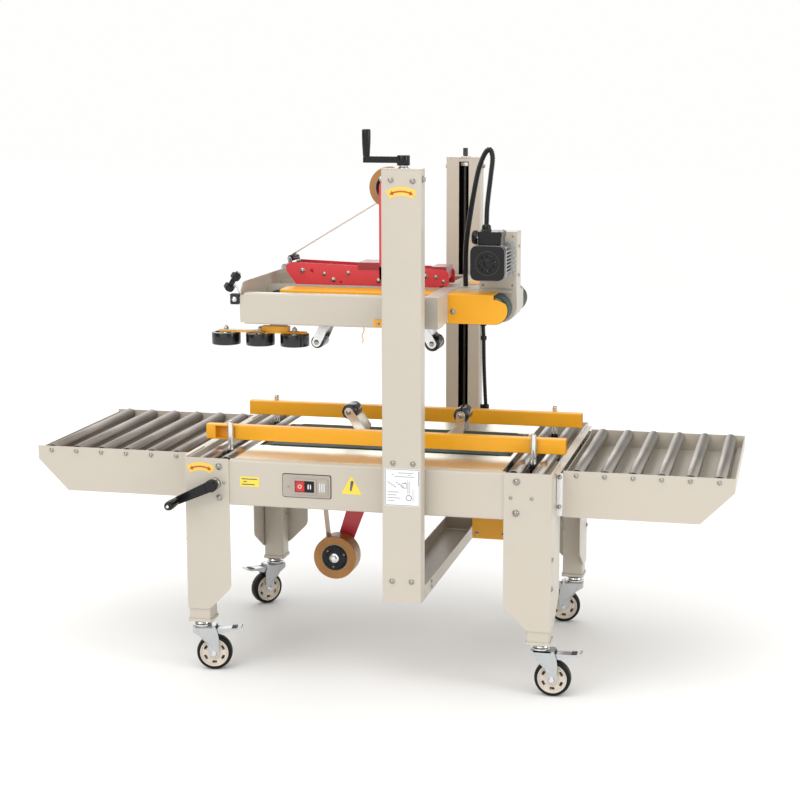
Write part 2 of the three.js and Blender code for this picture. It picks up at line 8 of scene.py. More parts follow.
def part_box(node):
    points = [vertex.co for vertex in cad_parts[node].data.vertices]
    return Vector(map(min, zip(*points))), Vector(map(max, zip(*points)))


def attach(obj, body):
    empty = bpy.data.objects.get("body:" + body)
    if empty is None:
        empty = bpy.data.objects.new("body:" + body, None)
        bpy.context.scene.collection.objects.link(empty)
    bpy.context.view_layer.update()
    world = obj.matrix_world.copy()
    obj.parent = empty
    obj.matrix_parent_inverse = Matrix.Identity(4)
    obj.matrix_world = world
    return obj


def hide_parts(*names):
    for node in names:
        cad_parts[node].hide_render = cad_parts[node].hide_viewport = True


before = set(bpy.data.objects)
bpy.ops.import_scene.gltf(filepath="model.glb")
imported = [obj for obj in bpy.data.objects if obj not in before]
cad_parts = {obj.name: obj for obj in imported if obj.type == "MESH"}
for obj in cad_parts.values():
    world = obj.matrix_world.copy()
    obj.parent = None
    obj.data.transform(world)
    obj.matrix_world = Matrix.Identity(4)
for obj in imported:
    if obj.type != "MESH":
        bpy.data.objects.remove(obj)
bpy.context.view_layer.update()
bpy.context.scene.unit_settings.system = "METRIC"
bpy.context.scene.view_settings.view_transform = "Standard"

# Shapes are drawn in millimetres around the bed's centre plane (y = 0), as the machine is laid out.
MM = 0.001


def limits(node):
    """A CAD node's ((x0, x1), (y0, y1), (z0, z1)) in millimetres, before the centre plane is taken off."""
    low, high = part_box(node)
    return tuple((low[i] / MM, high[i] / MM) for i in range(3))


CENTRE = (limits("column_near")[1][0] + limits("column_far_with_tie")[1][1]) / 2


def spans(node):
    """A CAD node's extents in millimetres, with y measured from the bed's centre plane."""
    x, y, z = limits(node)
    return x, (y[0] - CENTRE, y[1] - CENTRE), z


def middle(node):
    return tuple(sum(pair) / 2 for pair in spans(node))


# ------------------------------------------------------------------ camera, floor and light
SENSOR = 36.0
LENS = 77.5
camera_data = bpy.data.cameras.new("camera")
camera_data.sensor_width = SENSOR
camera_data.lens = LENS
camera_data.shift_x = -0.0246
camera_data.shift_y = 0.004
camera = bpy.data.objects.new("camera", camera_data)
bpy.context.scene.collection.objects.link(camera)
camera.location = (1.152, -4.705, 1.602)
camera.rotation_euler = (math.radians(90 - 10.27), 0.0, math.radians(12.89))
bpy.context.scene.camera = camera


def area_light(name, place, target, size, power):
    data = bpy.data.lights.new(name, "AREA")
    data.shape = "RECTANGLE"
    data.size, data.size_y = size
    data.energy = power
    lamp = bpy.data.objects.new(name, data)
    bpy.context.scene.collection.objects.link(lamp)
    lamp.location = place
    lamp.rotation_euler = (Vector(target) - Vector(place)).to_track_quat("-Z", "Y").to_euler()


def sun(name, toward, strength, softness):
    data = bpy.data.lights.new(name, "SUN")
    data.energy = strength
    data.angle = math.radians(softness)
    lamp = bpy.data.objects.new(name, data)
    bpy.context.scene.collection.objects.link(lamp)
    lamp.rotation_euler = Vector(toward).to_track_quat("-Z", "Y").to_euler()


sun("daylight", (0.30, 0.62, -1.0), 1.15, 70)
area_light("key", (-2.4, -4.4, 3.4), (0, 0, 0.8), (2.6, 2.2), 28)
area_light("fill", (3.9, -1.6, 2.4), (0, 0, 0.9), (1.6, 2.4), 40)
area_light("back", (-1.0, 4.2, 2.8), (0, 0, 0.9), (3.0, 2.0), 30)

world = bpy.data.worlds.new("studio")
bpy.context.scene.world = world
world.use_nodes = True
sky = world.node_tree
backdrop = sky.nodes["Background"]
backdrop.inputs["Color"].default_value = (1.0, 0.995, 0.985, 1.0)
seen = sky.nodes.new("ShaderNodeLightPath")
# tall bright panels with darker gaps between them, seen only by reflections
around = sky.nodes.new("ShaderNodeTexCoord")
panels_around = sky.nodes.new("ShaderNodeTexGradient")
panels_around.gradient_type = "RADIAL"
sky.links.new(around.outputs["Generated"], panels_around.inputs["Vector"])
strips = sky.nodes.new("ShaderNodeValToRGB")
STRIPS = (
    (0.0, 1.0), (0.06, 0.25), (0.13, 0.2), (0.17, 1.25), (0.30, 1.2), (0.34, 0.3), (0.40, 0.9), (0.47, 0.95),
    (0.52, 0.3), (0.57, 1.3), (0.66, 1.25), (0.70, 0.25), (0.76, 0.25), (0.80, 1.3), (0.92, 1.2), (1.0, 1.0),
)
while len(strips.color_ramp.elements) < len(STRIPS):
    strips.color_ramp.elements.new(0.5)
for element, (at, bright) in zip(strips.color_ramp.elements, STRIPS):
    element.position = at
    element.color = (bright, bright, bright, 1.0)
sky.links.new(panels_around.outputs["Fac"], strips.inputs["Fac"])
glossy = sky.nodes.new("ShaderNodeMix")
glossy.data_type = "FLOAT"
glossy.inputs[2].default_value = 0.90
sky.links.new(seen.outputs["Is Glossy Ray"], glossy.inputs[0])
sky.links.new(strips.outputs["Color"], glossy.inputs[3])
direct = sky.nodes.new("ShaderNodeMix")
direct.data_type = "FLOAT"
direct.inputs[3].default_value = 1.0
sky.links.new(seen.outputs["Is Camera Ray"], direct.inputs[0])
sky.links.new(glossy.outputs[0], direct.inputs[2])
sky.links.new(direct.outputs[0], backdrop.inputs["Strength"])

# ------------------------------------------------------------------ materials
finishes = {}


class Finish:
    """A Principled material with a small node graph for its colour, gloss and relief."""

    def __init__(self, name, roughness=0.5, metallic=0.0):
        self.material = bpy.data.materials.new(name)
        self.material.use_nodes = True
        self.tree = self.material.node_tree
        self.shader = self.tree.nodes["Principled BSDF"]
        self.shader.inputs["Roughness"].default_value = roughness
        self.shader.inputs["Metallic"].default_value = metallic
        finishes[name] = self.material

    def node(self, kind, **settings):
        made = self.tree.nodes.new(kind)
        for key, value in settings.items():
            setattr(made, key, value)
        return made

    def link(self, source, target):
        self.tree.links.new(source, target)

    def place(self, stretch=(1, 1, 1)):
        """Object coordinates in metres, stretched per axis."""
        coords = self.node("ShaderNodeTexCoord")
        mapping = self.node("ShaderNodeMapping")
        mapping.inputs["Scale"].default_value = stretch
        self.link(coords.outputs["Object"], mapping.inputs["Vector"])
        return mapping.outputs["Vector"]

    def noise(self, scale, detail=3.0, stretch=(1, 1, 1), roughness=0.55):
        texture = self.node("ShaderNodeTexNoise")
        texture.inputs["Scale"].default_value = scale
        texture.inputs["Detail"].default_value = detail
        texture.inputs["Roughness"].default_value = roughness
        self.link(self.place(stretch), texture.inputs["Vector"])
        return texture.outputs["Fac"]

    def ramp(self, value, stops):
        ramp = self.node("ShaderNodeValToRGB")
        elements = ramp.color_ramp.elements
        while len(elements) < len(stops):
            elements.new(0.5)
        for element, (at, colour) in zip(elements, stops):
            element.position = at
            element.color = (*colour, 1.0)
        self.link(value, ramp.inputs["Fac"])
        return ramp.outputs["Color"]

    def mix(self, factor, first, second):
        mixer = self.node("ShaderNodeMix", data_type="RGBA")
        for value, socket in ((factor, 0), (first, 6), (second, 7)):
            if isinstance(value, (tuple, float, int)):
                mixer.inputs[socket].default_value = (*value, 1.0) if isinstance(value, tuple) else value
            else:
                self.link(value, mixer.inputs[socket])
        return mixer.outputs[2]

    def spread(self, value, low, high):
        """Maps 0..1 to low..high."""
        ranger = self.node("ShaderNodeMapRange")
        ranger.inputs["To Min"].default_value = low
        ranger.inputs["To Max"].default_value = high
        self.link(value, ranger.inputs["Value"])
        return ranger.outputs["Result"]

    def relief(self, heights, strength, distance):
        bump = self.node("ShaderNodeBump")
        bump.inputs["Strength"].default_value = strength
        bump.inputs["Distance"].default_value = distance
        self.link(heights, bump.inputs["Height"])
        self.link(bump.outputs["Normal"], self.shader.inputs["Normal"])

    def colour(self, value):
        self.link(value, self.shader.inputs["Base Color"])

    def gloss(self, value):
        self.link(value, self.shader.inputs["Roughness"])


def tint(colour, factor):
    return tuple(min(1.0, c * factor) for c in colour)


def painted(name, colour, roughness=0.42, coat=0.25):
    """Powder coat: faint orange peel, slow colour drift and a little handling dust."""
    f = Finish(name, roughness)
    drift = f.noise(2.2, 4.0)
    base = f.ramp(drift, [(0.3, tint(colour, 0.965)), (0.7, tint(colour, 1.02))])
    specks = f.noise(55.0, 5.0, roughness=0.7)
    dusty = f.ramp(specks, [(0.60, (0, 0, 0)), (0.78, (1, 1, 1))])
    f.colour(f.mix(f.spread(dusty, 0.0, 0.10), base, tint(colour, 0.648)))
    f.gloss(f.spread(f.noise(9.0, 4.0), roughness - 0.07, roughness + 0.09))
    f.shader.inputs["Coat Weight"].default_value = coat
    f.shader.inputs["Coat Roughness"].default_value = 0.18
    f.relief(f.noise(620.0, 2.0), 0.10, 0.0006)


def metal(name, colour, roughness, stretch=(1, 1, 1), scratch=240.0, dark=0.85, bump=0.06):
    """Bare or plated metal: tonal clouds and fine streaks along one way."""
    f = Finish(name, roughness, 1.0)
    clouds = f.noise(7.0, 4.0)
    streaks = f.noise(scratch, 3.0, stretch)
    base = f.ramp(clouds, [(0.25, tint(colour, dark)), (0.75, colour)])
    f.colour(f.mix(f.spread(streaks, 0.0, 0.35), base, tint(colour, dark)))
    f.gloss(f.spread(streaks, max(0.04, roughness - 0.08), roughness + 0.12))
    f.relief(streaks, bump, 0.0004)


def plastic(name, colour, roughness, grain=420.0, bump=0.12, coat=0.0, shine=0.3):
    """Moulded plastic or rubber: fine grain, scuffs and slight tone drift."""
    f = Finish(name, roughness)
    drift = f.noise(14.0, 4.0)
    scuffs = f.noise(90.0, 6.0, (1, 1, 0.3), 0.75)
    base = f.ramp(drift, [(0.3, tint(colour, 0.85)), (0.7, tint(colour, 1.12))])
    pale = tuple(min(1.0, c + 0.02) for c in colour)
    f.colour(f.mix(f.spread(f.ramp(scuffs, [(0.58, (0, 0, 0)), (0.8, (1, 1, 1))]), 0.0, 0.35), base, pale))
    f.gloss(f.spread(drift, roughness - 0.08, roughness + 0.1))
    f.shader.inputs["Coat Weight"].default_value = coat
    f.shader.inputs["Specular IOR Level"].default_value = shine
    f.relief(f.noise(grain, 3.0), bump, 0.0005)


CREAM = (0.530, 0.482, 0.405)
painted("cream_paint", CREAM)
painted("gold_paint", (0.86, 0.385, 0.002), 0.38, 0.06)
painted("red_paint", (0.66, 0.035, 0.048), 0.34, 0.3)
painted("dark_red_paint", (0.30, 0.012, 0.02), 0.4, 0.3)
painted("black_paint", (0.008, 0.008, 0.009), 0.45, 0.0)
painted("orange_ink", (0.50, 0.10, 0.02), 0.4, 0.2)
painted("sticker_yellow", (0.86, 0.66, 0.06), 0.38, 0.3)
painted("sticker_amber", (0.86, 0.57, 0.09), 0.38, 0.3)
painted("sticker_white", (0.80, 0.81, 0.82), 0.5, 0.1)
painted("ink_grey", (0.09, 0.10, 0.12), 0.5, 0.0)
painted("switch_grey", (0.40, 0.35, 0.30), 0.4, 0.3)
metal("stainless", (0.90, 0.87, 0.76), 0.36, (0.02, 1, 1), 900.0, 0.84)
metal("roller_steel", (0.43, 0.395, 0.36), 0.42, (1, 0.02, 1), 900.0, 0.75, 0.04)
# a darker copy of roller_steel for the left table's rollers: painted shade, as those rollers are seen from
# their shaded side
metal("shaded_roller_steel", (0.40, 0.355, 0.32), 0.42, (1, 0.02, 1), 900.0, 0.65, 0.04)
metal("bright_roller_steel", (0.60, 0.56, 0.52), 0.32, (1, 0.02, 1), 900.0, 0.75, 0.04)
metal("zinc", (0.66, 0.68, 0.69), 0.30, (1, 1, 1), 160.0, 0.75)
metal("bright_zinc", (0.86, 0.86, 0.86), 0.22, (1, 1, 1), 50.0, 0.9, 0.015)
metal("chrome", (0.80, 0.81, 0.82), 0.10, (1, 1, 1), 60.0, 0.9, 0.02)
metal("bolt_steel", (0.46, 0.44, 0.40), 0.20, (1, 1, 1), 300.0, 0.7, 0.03)
metal("dark_steel", (0.10, 0.095, 0.09), 0.42, (1, 1, 1), 400.0, 0.6)
metal("cast_aluminium", (0.58, 0.58, 0.57), 0.42, (1, 1, 1), 120.0, 0.7, 0.2)
plastic("black_plastic", (0.005, 0.005, 0.006), 0.22, bump=0.05, shine=0.35)
plastic("grey_plastic", (0.045, 0.045, 0.050), 0.5)
plastic("tyre_rubber", (0.006, 0.006, 0.007), 0.4, 300.0, 0.25, shine=0.2)
plastic("roller_rubber", (0.006, 0.006, 0.008), 0.13, 500.0, 0.03, shine=0.6)
plastic("cream_plastic", (0.66, 0.59, 0.50), 0.4, 200.0, 0.05, 0.2, 0.5)
plastic("red_plastic", (0.55, 0.018, 0.012), 0.28, 300.0, 0.04, 0.3, 0.5)


def belt_finish():
    """Dark green rubber belt with a fine woven face."""
    f = Finish("belt_rubber", 0.6)
    along_belt = f.node("ShaderNodeTexWave", wave_type="BANDS", bands_direction="X")
    across_belt = f.node("ShaderNodeTexWave", wave_type="BANDS", bands_direction="Y")
    for wave in (along_belt, across_belt):
        wave.inputs["Scale"].default_value = 90.0
        wave.inputs["Distortion"].default_value = 0.6
        f.link(f.place(), wave.inputs["Vector"])
    weave = f.node("ShaderNodeMath", operation="MULTIPLY")
    f.link(along_belt.outputs["Fac"], weave.inputs[0])
    f.link(across_belt.outputs["Fac"], weave.inputs[1])
    worn = f.noise(26.0, 5.0, (0.4, 1, 1), 0.7)
    base = f.ramp(worn, [(0.3, (0.012, 0.035, 0.030)), (0.72, (0.035, 0.075, 0.065))])
    f.colour(f.mix(f.spread(weave.outputs[0], 0.0, 0.3), base, (0.06, 0.10, 0.09)))
    f.gloss(f.spread(worn, 0.5, 0.75))
    f.relief(weave.outputs[0], 0.25, 0.0005)


def tape_finish(name, colour, centre, pale):
    """Brown film wound round a core: thin rings about the roll's own axis, which runs along y."""
    f = Finish(name, 0.25)
    coords = f.node("ShaderNodeTexCoord")
    shift = f.node("ShaderNodeVectorMath", operation="SUBTRACT")
    shift.inputs[1].default_value = centre
    f.link(coords.outputs["Object"], shift.inputs[0])
    rings = f.node("ShaderNodeTexWave", wave_type="RINGS", rings_direction="Y")
    rings.inputs["Scale"].default_value = 160.0
    rings.inputs["Distortion"].default_value = 1.5
    rings.inputs["Detail"].default_value = 3.0
    f.link(shift.outputs["Vector"], rings.inputs["Vector"])
    clouds = f.noise(18.0, 4.0)
    base = f.ramp(clouds, [(0.3, colour), (0.75, pale)])
    f.colour(f.mix(f.spread(rings.outputs["Fac"], 0.0, 0.4), base, tint(colour, 0.6)))
    f.gloss(f.spread(rings.outputs["Fac"], 0.2, 0.4))
    f.shader.inputs["Coat Weight"].default_value = 0.3
    f.relief(rings.outputs["Fac"], 0.15, 0.0004)


def film_finish():
    """A single strand of packing tape: thin glossy film, pale and partly clear."""
    f = Finish("tape_film", 0.22)
    streaks = f.noise(60.0, 3.0, (1, 1, 0.1))
    f.colour(f.ramp(streaks, [(0.3, (0.55, 0.32, 0.11)), (0.7, (0.68, 0.45, 0.20))]))
    f.gloss(f.spread(streaks, 0.15, 0.32))
    f.shader.inputs["Transmission Weight"].default_value = 0.15
    f.relief(streaks, 0.1, 0.0003)


def card_finish():
    """Grey-brown board of the tape cores."""
    f = Finish("core_board", 0.85)
    fibres = f.noise(150.0, 6.0, (1, 0.2, 1), 0.7)
    f.colour(f.ramp(fibres, [(0.3, (0.30, 0.20, 0.12)), (0.7, (0.42, 0.30, 0.19))]))
    f.gloss(f.spread(fibres, 0.75, 0.95))
    f.relief(fibres, 0.3, 0.0005)


UPPER_ROLL = middle("tape_roll_upper")
LOWER_ROLL = middle("tape_roll_lower")


def metres(point):
    """A point in drawing millimetres as metres in the CAD frame."""
    return Vector((point[0], point[1] + CENTRE, point[2])) * MM


belt_finish()
tape_finish("tape_upper", (0.36, 0.16, 0.035), metres(UPPER_ROLL), (0.46, 0.22, 0.06))
tape_finish("tape_lower", (0.40, 0.15, 0.012), metres(LOWER_ROLL), (0.52, 0.23, 0.025))
film_finish()
card_finish()

# ------------------------------------------------------------------ shape helpers


def arc(centre, radius, start, end, steps=8):
    """Points on an arc, angles in degrees."""
    angles = [math.radians(start + (end - start) * i / steps) for i in range(steps + 1)]
    return [(centre[0] + radius * math.cos(a), centre[1] + radius * math.sin(a)) for a in angles]


def ring(centre, radius, steps=32):
    return arc(centre, radius, 0, 360, steps)[:-1]


def bar(start, end, radius, end_radius=None, steps=14):
    """The outline of a bar with round ends."""
    end_radius = radius if end_radius is None else end_radius
    heading = math.degrees(math.atan2(end[1] - start[1], end[0] - start[0]))
    return (arc(end, end_radius, heading - 90, heading + 90, steps)
            + arc(start, radius, heading + 90, heading + 270, steps))


def rounded(points, radius, steps=5):
    """The outline through points with its corners rounded. radius is one number or one for each corner."""
    outline = []
    count = len(points)
    for i, corner in enumerate(points):
        r = radius[i] if isinstance(radius, (list, tuple)) else radius
        here, before, after = (Vector((*p, 0.0)) for p in (corner, points[i - 1], points[(i + 1) % count]))
        if r <= 0:
            outline.append(tuple(corner))
            continue
        to_before, to_after = (before - here), (after - here)
        reach = min(r, 0.45 * to_before.length, 0.45 * to_after.length)
        first, last = here + to_before.normalized() * reach, here + to_after.normalized() * reach
        for k in range(steps + 1):
            t = k / steps
            point = first * (1 - t) ** 2 + here * 2 * t * (1 - t) + last * t ** 2
            outline.append((point.x, point.y))
    return outline


def rectangle(us, vs, radius=0.0):
    points = [(us[0], vs[0]), (us[1], vs[0]), (us[1], vs[1]), (us[0], vs[1])]
    return rounded(points, radius) if radius > 0 else points


def bent_bar(start, bend, end, radius, end_radius):
    """The outline of a bar with round ends and one bend."""
    first, last = Vector(bend) - Vector(start), Vector(end) - Vector(bend)
    heading, leaving = (math.degrees(math.atan2(v.y, v.x)) for v in (first, last))
    across = Vector((-first.y, first.x)).normalized() + Vector((-last.y, last.x)).normalized()
    knee = across * (2 * radius / across.length_squared)
    left, right = Vector(bend) + knee, Vector(bend) - knee
    return (arc(end, end_radius, leaving - 90, leaving + 90, 12) + [tuple(left)]
            + arc(start, radius, heading + 90, heading + 270, 12) + [tuple(right)])


class Fold:
    """The outer line of a bent sheet's section: straight runs joined by round bends."""

    def __init__(self, corners, radius, inward, steps=5):
        self.inward, self.runs, self.creases = inward, [], []
        points = [Vector(corner) for corner in corners]
        start, done = points[0], 0.0
        for before, corner, after in zip(points, points[1:], points[2:]):
            heading, leaving = (corner - before).normalized(), (after - corner).normalized()
            angle = math.atan2(heading.x * leaving.y - heading.y * leaving.x, heading.dot(leaving))
            reach = radius * math.tan(abs(angle) / 2)
            end = corner - heading * reach
            self.runs.append((done, start, heading, 0.0))
            done += (end - start).length
            self.runs.append((done, end, heading, math.copysign(radius, angle)))
            self.creases += [done + radius * abs(angle) * k / steps for k in range(steps + 1)]
            done += radius * abs(angle)
            start = corner + leaving * reach
        self.runs.append((done, start, (points[-1] - points[-2]).normalized(), 0.0))
        self.length = done + (points[-1] - start).length

    def at(self, along, depth):
        """The point so far along the outer line and so deep in the sheet."""
        run = next((r for r in reversed(self.runs) if r[0] <= along + 1e-6), self.runs[0])
        done, start, heading, radius = run
        left = Vector((-heading.y, heading.x))
        if radius == 0.0:
            return start + heading * (along - done) + left * (self.inward * depth)
        spoke = left * (self.inward * depth - radius)
        angle = (along - done) / radius
        turned = Vector((spoke.x * math.cos(angle) - spoke.y * math.sin(angle),
                         spoke.x * math.sin(angle) + spoke.y * math.cos(angle)))
        return start + left * radius + turned


def flat_plate(outline, holes):
    """A flat plate cut to an outline, with holes, half a metre above and below z = 0."""
    curve = bpy.data.curves.new("outline", "CURVE")
    curve.dimensions = "2D"
    curve.fill_mode = "BOTH"
    curve.extrude = 0.5
    for loop in (outline, *holes):
        line = curve.splines.new("POLY")
        line.points.add(len(loop) - 1)
        for point, (u, v) in zip(line.points, loop):
            point.co = (u * MM, v * MM, 0, 1)
        line.use_cyclic_u = True
    carrier = bpy.data.objects.new("outline", curve)
    bpy.context.scene.collection.objects.link(carrier)
    made = bmesh.new()
    made.from_mesh(carrier.to_mesh())
    carrier.to_mesh_clear()
    bpy.data.objects.remove(carrier)
    bpy.data.curves.remove(curve)
    bmesh.ops.remove_doubles(made, verts=made.verts, dist=1e-7)
    return made


AXES = {"x": (1, 2, 0), "y": (0, 2, 1), "z": (0, 1, 2)}
SMOOTH_ANGLE = 38  # faces that meet at less than this are shaded as one round face


def spot(axis, u, v, depth):
    """The point at (u, v) on the plane square to axis: x takes (y, z), y takes (x, z), z takes (x, y)."""
    a, b, c = AXES[axis]
    point = [0.0, 0.0, 0.0]
    point[a], point[b], point[c] = u, v, depth
    return point


def ring_faces(rings, sides):
    """The faces of a closed stack of rings of points, with a flat face at each end."""
    faces = [(r * sides + k, r * sides + (k + 1) % sides, (r + 1) * sides + (k + 1) % sides,
              (r + 1) * sides + k)
             for r in range(rings - 1) for k in range(sides)]
    return faces + [tuple(range(sides))[::-1], tuple((rings - 1) * sides + k for k in range(sides))]


class Piece:
    """A named piece gathered from simple closed shapes, each with one of its finishes."""

    def __init__(self, name, body, slot, *finish_names):
        self.name, self.body, self.slot = name, body, slot
        self.finish_names = finish_names
        self.mesh = bmesh.new()

    def take(self, points, faces, finish=0):
        start = [self.mesh.verts.new(metres(p)) for p in points]
        for face in faces:
            made = self.mesh.faces.new([start[i] for i in face])
            made.material_index = finish
        return self

    def block(self, xs, ys, zs, finish=0):
        (x0, x1), (y0, y1), (z0, z1) = sorted(xs), sorted(ys), sorted(zs)
        points = [(x, y, z) for x in (x0, x1) for y in (y0, y1) for z in (z0, z1)]
        faces = [(0, 1, 3, 2), (4, 6, 7, 5), (0, 4, 5, 1), (2, 3, 7, 6), (0, 2, 6, 4), (1, 5, 7, 3)]
        return self.take(points, faces, finish)

    def plate(self, axis, outline, low, high, finish=0, holes=()):
        """A flat plate cut to an outline, with holes, between two depths along axis."""
        made = flat_plate(outline, holes)
        low, high = sorted((low, high))
        made.verts.index_update()
        points = [spot(axis, v.co.x / MM, v.co.y / MM, high if v.co.z > 0 else low) for v in made.verts]
        faces = [[v.index for v in f.verts] for f in made.faces]
        made.free()
        return self.take(points, faces, finish)

    def sheet(self, axis, outline, fold, thick, finish=0, holes=()):
        """A bent sheet: its flat outline, as (place along axis, place along the fold), is carried round."""
        made = flat_plate(outline, holes)
        for crease in fold.creases:
            parts = [*made.verts, *made.edges, *made.faces]
            bmesh.ops.bisect_plane(made, geom=parts, dist=1e-7, plane_co=(0, crease * MM, 0),
                                   plane_no=(0, 1, 0))
        made.verts.index_update()
        points = []
        for v in made.verts:
            u, w = fold.at(v.co.y / MM, thick if v.co.z > 0 else 0.0)
            points.append(spot(axis, u, w, v.co.x / MM))
        faces = [[v.index for v in f.verts] for f in made.faces]
        made.free()
        return self.take(points, faces, finish)

    def turn(self, axis, profile, u, v, finish=0, sides=40):
        """A turned shape about an axis line through (u, v). The profile holds (radius, distance) points."""
        points, rings = [], []
        for radius, depth in profile:
            if radius < 1e-6:
                rings.append([len(points)] * sides)
                points.append(spot(axis, u, v, depth))
                continue
            rings.append(list(range(len(points), len(points) + sides)))
            for k in range(sides):
                a = 2 * math.pi * k / sides
                points.append(spot(axis, u + radius * math.cos(a), v + radius * math.sin(a), depth))
        faces = []
        for lower, upper in zip(rings, rings[1:]):
            for k in range(sides):
                n = (k + 1) % sides
                face = [lower[k], lower[n], upper[n], upper[k]]
                face = [p for i, p in enumerate(face) if p not in face[:i]]
                if len(face) > 2:
                    faces.append(face)
        return self.take(points, faces, finish)

    def puck(self, axis, radius, low, high, u, v, finish=0, sides=40):
        """A plain disc or, with few sides, a nut."""
        return self.turn(axis, [(0, low), (radius, low), (radius, high), (0, high)], u, v, finish, sides)

    def sleeve(self, axis, bore, radius, low, high, u, v, finish=0, sides=40):
        """A plain tube."""
        wall = [(bore, low), (radius, low), (radius, high), (bore, high), (bore, low)]
        return self.turn(axis, wall, u, v, finish, sides)

    def rod(self, axis, radius, low, high, u, v, finish=0, sides=24, edge=None):
        """A round bar with eased ends."""
        low, high = sorted((low, high))
        e = min(radius * 0.25, 1.0, (high - low) * 0.25) if edge is None else edge
        profile = [(0, low), (radius - e, low), (radius, low + e), (radius, high - e), (radius - e, high),
                   (0, high)]
        return self.turn(axis, profile, u, v, finish, sides)

    def tube(self, route, radius, finish=0, sides=12):
        """A round bar bent along a route of points. radius is one number or one for each point."""
        path = [Vector(p) for p in route]
        count = len(path)
        points, side = [], None
        for i, here in enumerate(path):
            heading = (path[min(i + 1, count - 1)] - path[max(i - 1, 0)]).normalized()
            if side is None:
                side = heading.orthogonal().normalized()
            side = (side - heading * side.dot(heading)).normalized()
            other = heading.cross(side)
            r = radius[i] if isinstance(radius, (list, tuple)) else radius
            for k in range(sides):
                a = 2 * math.pi * k / sides
                points.append(tuple(here + (side * math.cos(a) + other * math.sin(a)) * r))
        return self.take(points, ring_faces(count, sides), finish)

    def bolt(self, axis, u, v, face, out, size=9.0, finish=0, washer=True, domed=True):
        """A fastener head on a face: out is +1 or -1, the way the head points along axis."""
        base = face
        if washer:
            self.turn(axis, [(0, base), (size * 0.95, base), (size * 0.95, base + out * 1.2),
                             (size * 0.86, base + out * 1.6), (0, base + out * 1.6)], u, v, finish, 24)
            base += out * 1.5
        if domed:
            height = size * 0.52
            profile = [(0, base)]
            profile += [(size * 0.72 * math.cos(a), base + out * height * math.sin(a))
                        for a in [math.pi / 2 * k / 6 for k in range(7)]]
            profile[-1] = (0, base + out * height)
            return self.turn(axis, profile, u, v, finish, 20)
        height = size * 0.55
        return self.turn(axis, [(0, base), (size * 0.72, base), (size * 0.72, base + out * height * 0.8),
                                (size * 0.6, base + out * height), (0, base + out * height)], u, v, finish, 6)

    def twist(self, angle, about):
        """Turns everything gathered so far about an upright line through a point, in degrees."""
        matrix = Matrix.Rotation(math.radians(angle), 3, Vector((0, 0, 1)))
        bmesh.ops.rotate(self.mesh, cent=metres(about), matrix=matrix, verts=self.mesh.verts)
        return self

    def finish(self, edge=0.6, smooth=SMOOTH_ANGLE, replaces=(), segments=2):
        """Makes the object: eased edges, smooth round faces, finishes and body."""
        bmesh.ops.recalc_face_normals(self.mesh, faces=self.mesh.faces)
        data = bpy.data.meshes.new(self.name)
        self.mesh.to_mesh(data)
        self.mesh.free()
        for finish_name in self.finish_names:
            data.materials.append(finishes[finish_name])
        return dress(data, self.name, self.body, edge, smooth, replaces, segments)


def ease(piece, edge, smooth, segments=2):
    """Rounds the sharp edges by so many millimetres and shades the rest smooth."""
    piece.data.polygons.foreach_set("use_smooth", [True] * len(piece.data.polygons))
    piece.data.set_sharp_from_angle(angle=math.radians(smooth))
    if edge > 0:
        bevel = piece.modifiers.new("edges", "BEVEL")
        bevel.width = edge * MM
        bevel.segments = segments
        bevel.limit_method = "ANGLE"
        bevel.angle_limit = math.radians(smooth)
        bevel.harden_normals = True


def dress(data, name, body, edge, smooth, replaces, segments):
    piece = bpy.data.objects.new(name, data)
    bpy.context.scene.collection.objects.link(piece)
    ease(piece, edge, smooth, segments)
    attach(piece, body)
    if replaces:
        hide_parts(*([replaces] if isinstance(replaces, str) else replaces))
    return piece


def keep(node, finish_name, edge=0.6):
    """A CAD node whose shape stays: it gets eased edges and its own finish."""
    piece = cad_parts[node]
    piece.data.materials.clear()
    piece.data.materials.append(finishes[finish_name])
    ease(piece, edge, SMOOTH_ANGLE)


SIDES = (-1, 1)

# ------------------------------------------------------------------ places read from the frame
LEG_OUTER, LEG_INNER, LEG_FACE, LEG_BACK = 509.0, 381.0, 373.0, 215.0
LEG_TOP, LEG_BOTTOM, FOOT_BOTTOM = 615.0, 185.0, 147.0
PANEL_FACE, PANEL_TOP, PANEL_BOTTOM, BED_HALF = 370.0, 612.0, 486.0, 505.0
SHEET = 3.0
(COLUMN_X0, COLUMN_X1), _, (COLUMN_BOTTOM, COLUMN_TOP) = spans("column_near")
COLUMN_FACE = -spans("column_near")[1][0]
SCREW_X, SCREW_Y = middle("lift_screw_near")[0], -middle("lift_screw_near")[1]
CRANK_X, CRANK_Z = -421.0, 545.0
GUIDE_BAR_X = 428

# ------------------------------------------------------------------ bed frame
BEND = 4.5
BEND_RUN = BEND * math.pi / 2


def folded_edge(s, *corners):
    """A fold whose section is given as (y, z) on the far side, mirrored to side s; its sheet lies inside."""
    return Fold([(s * y, z) for y, z in corners], BEND, -s)


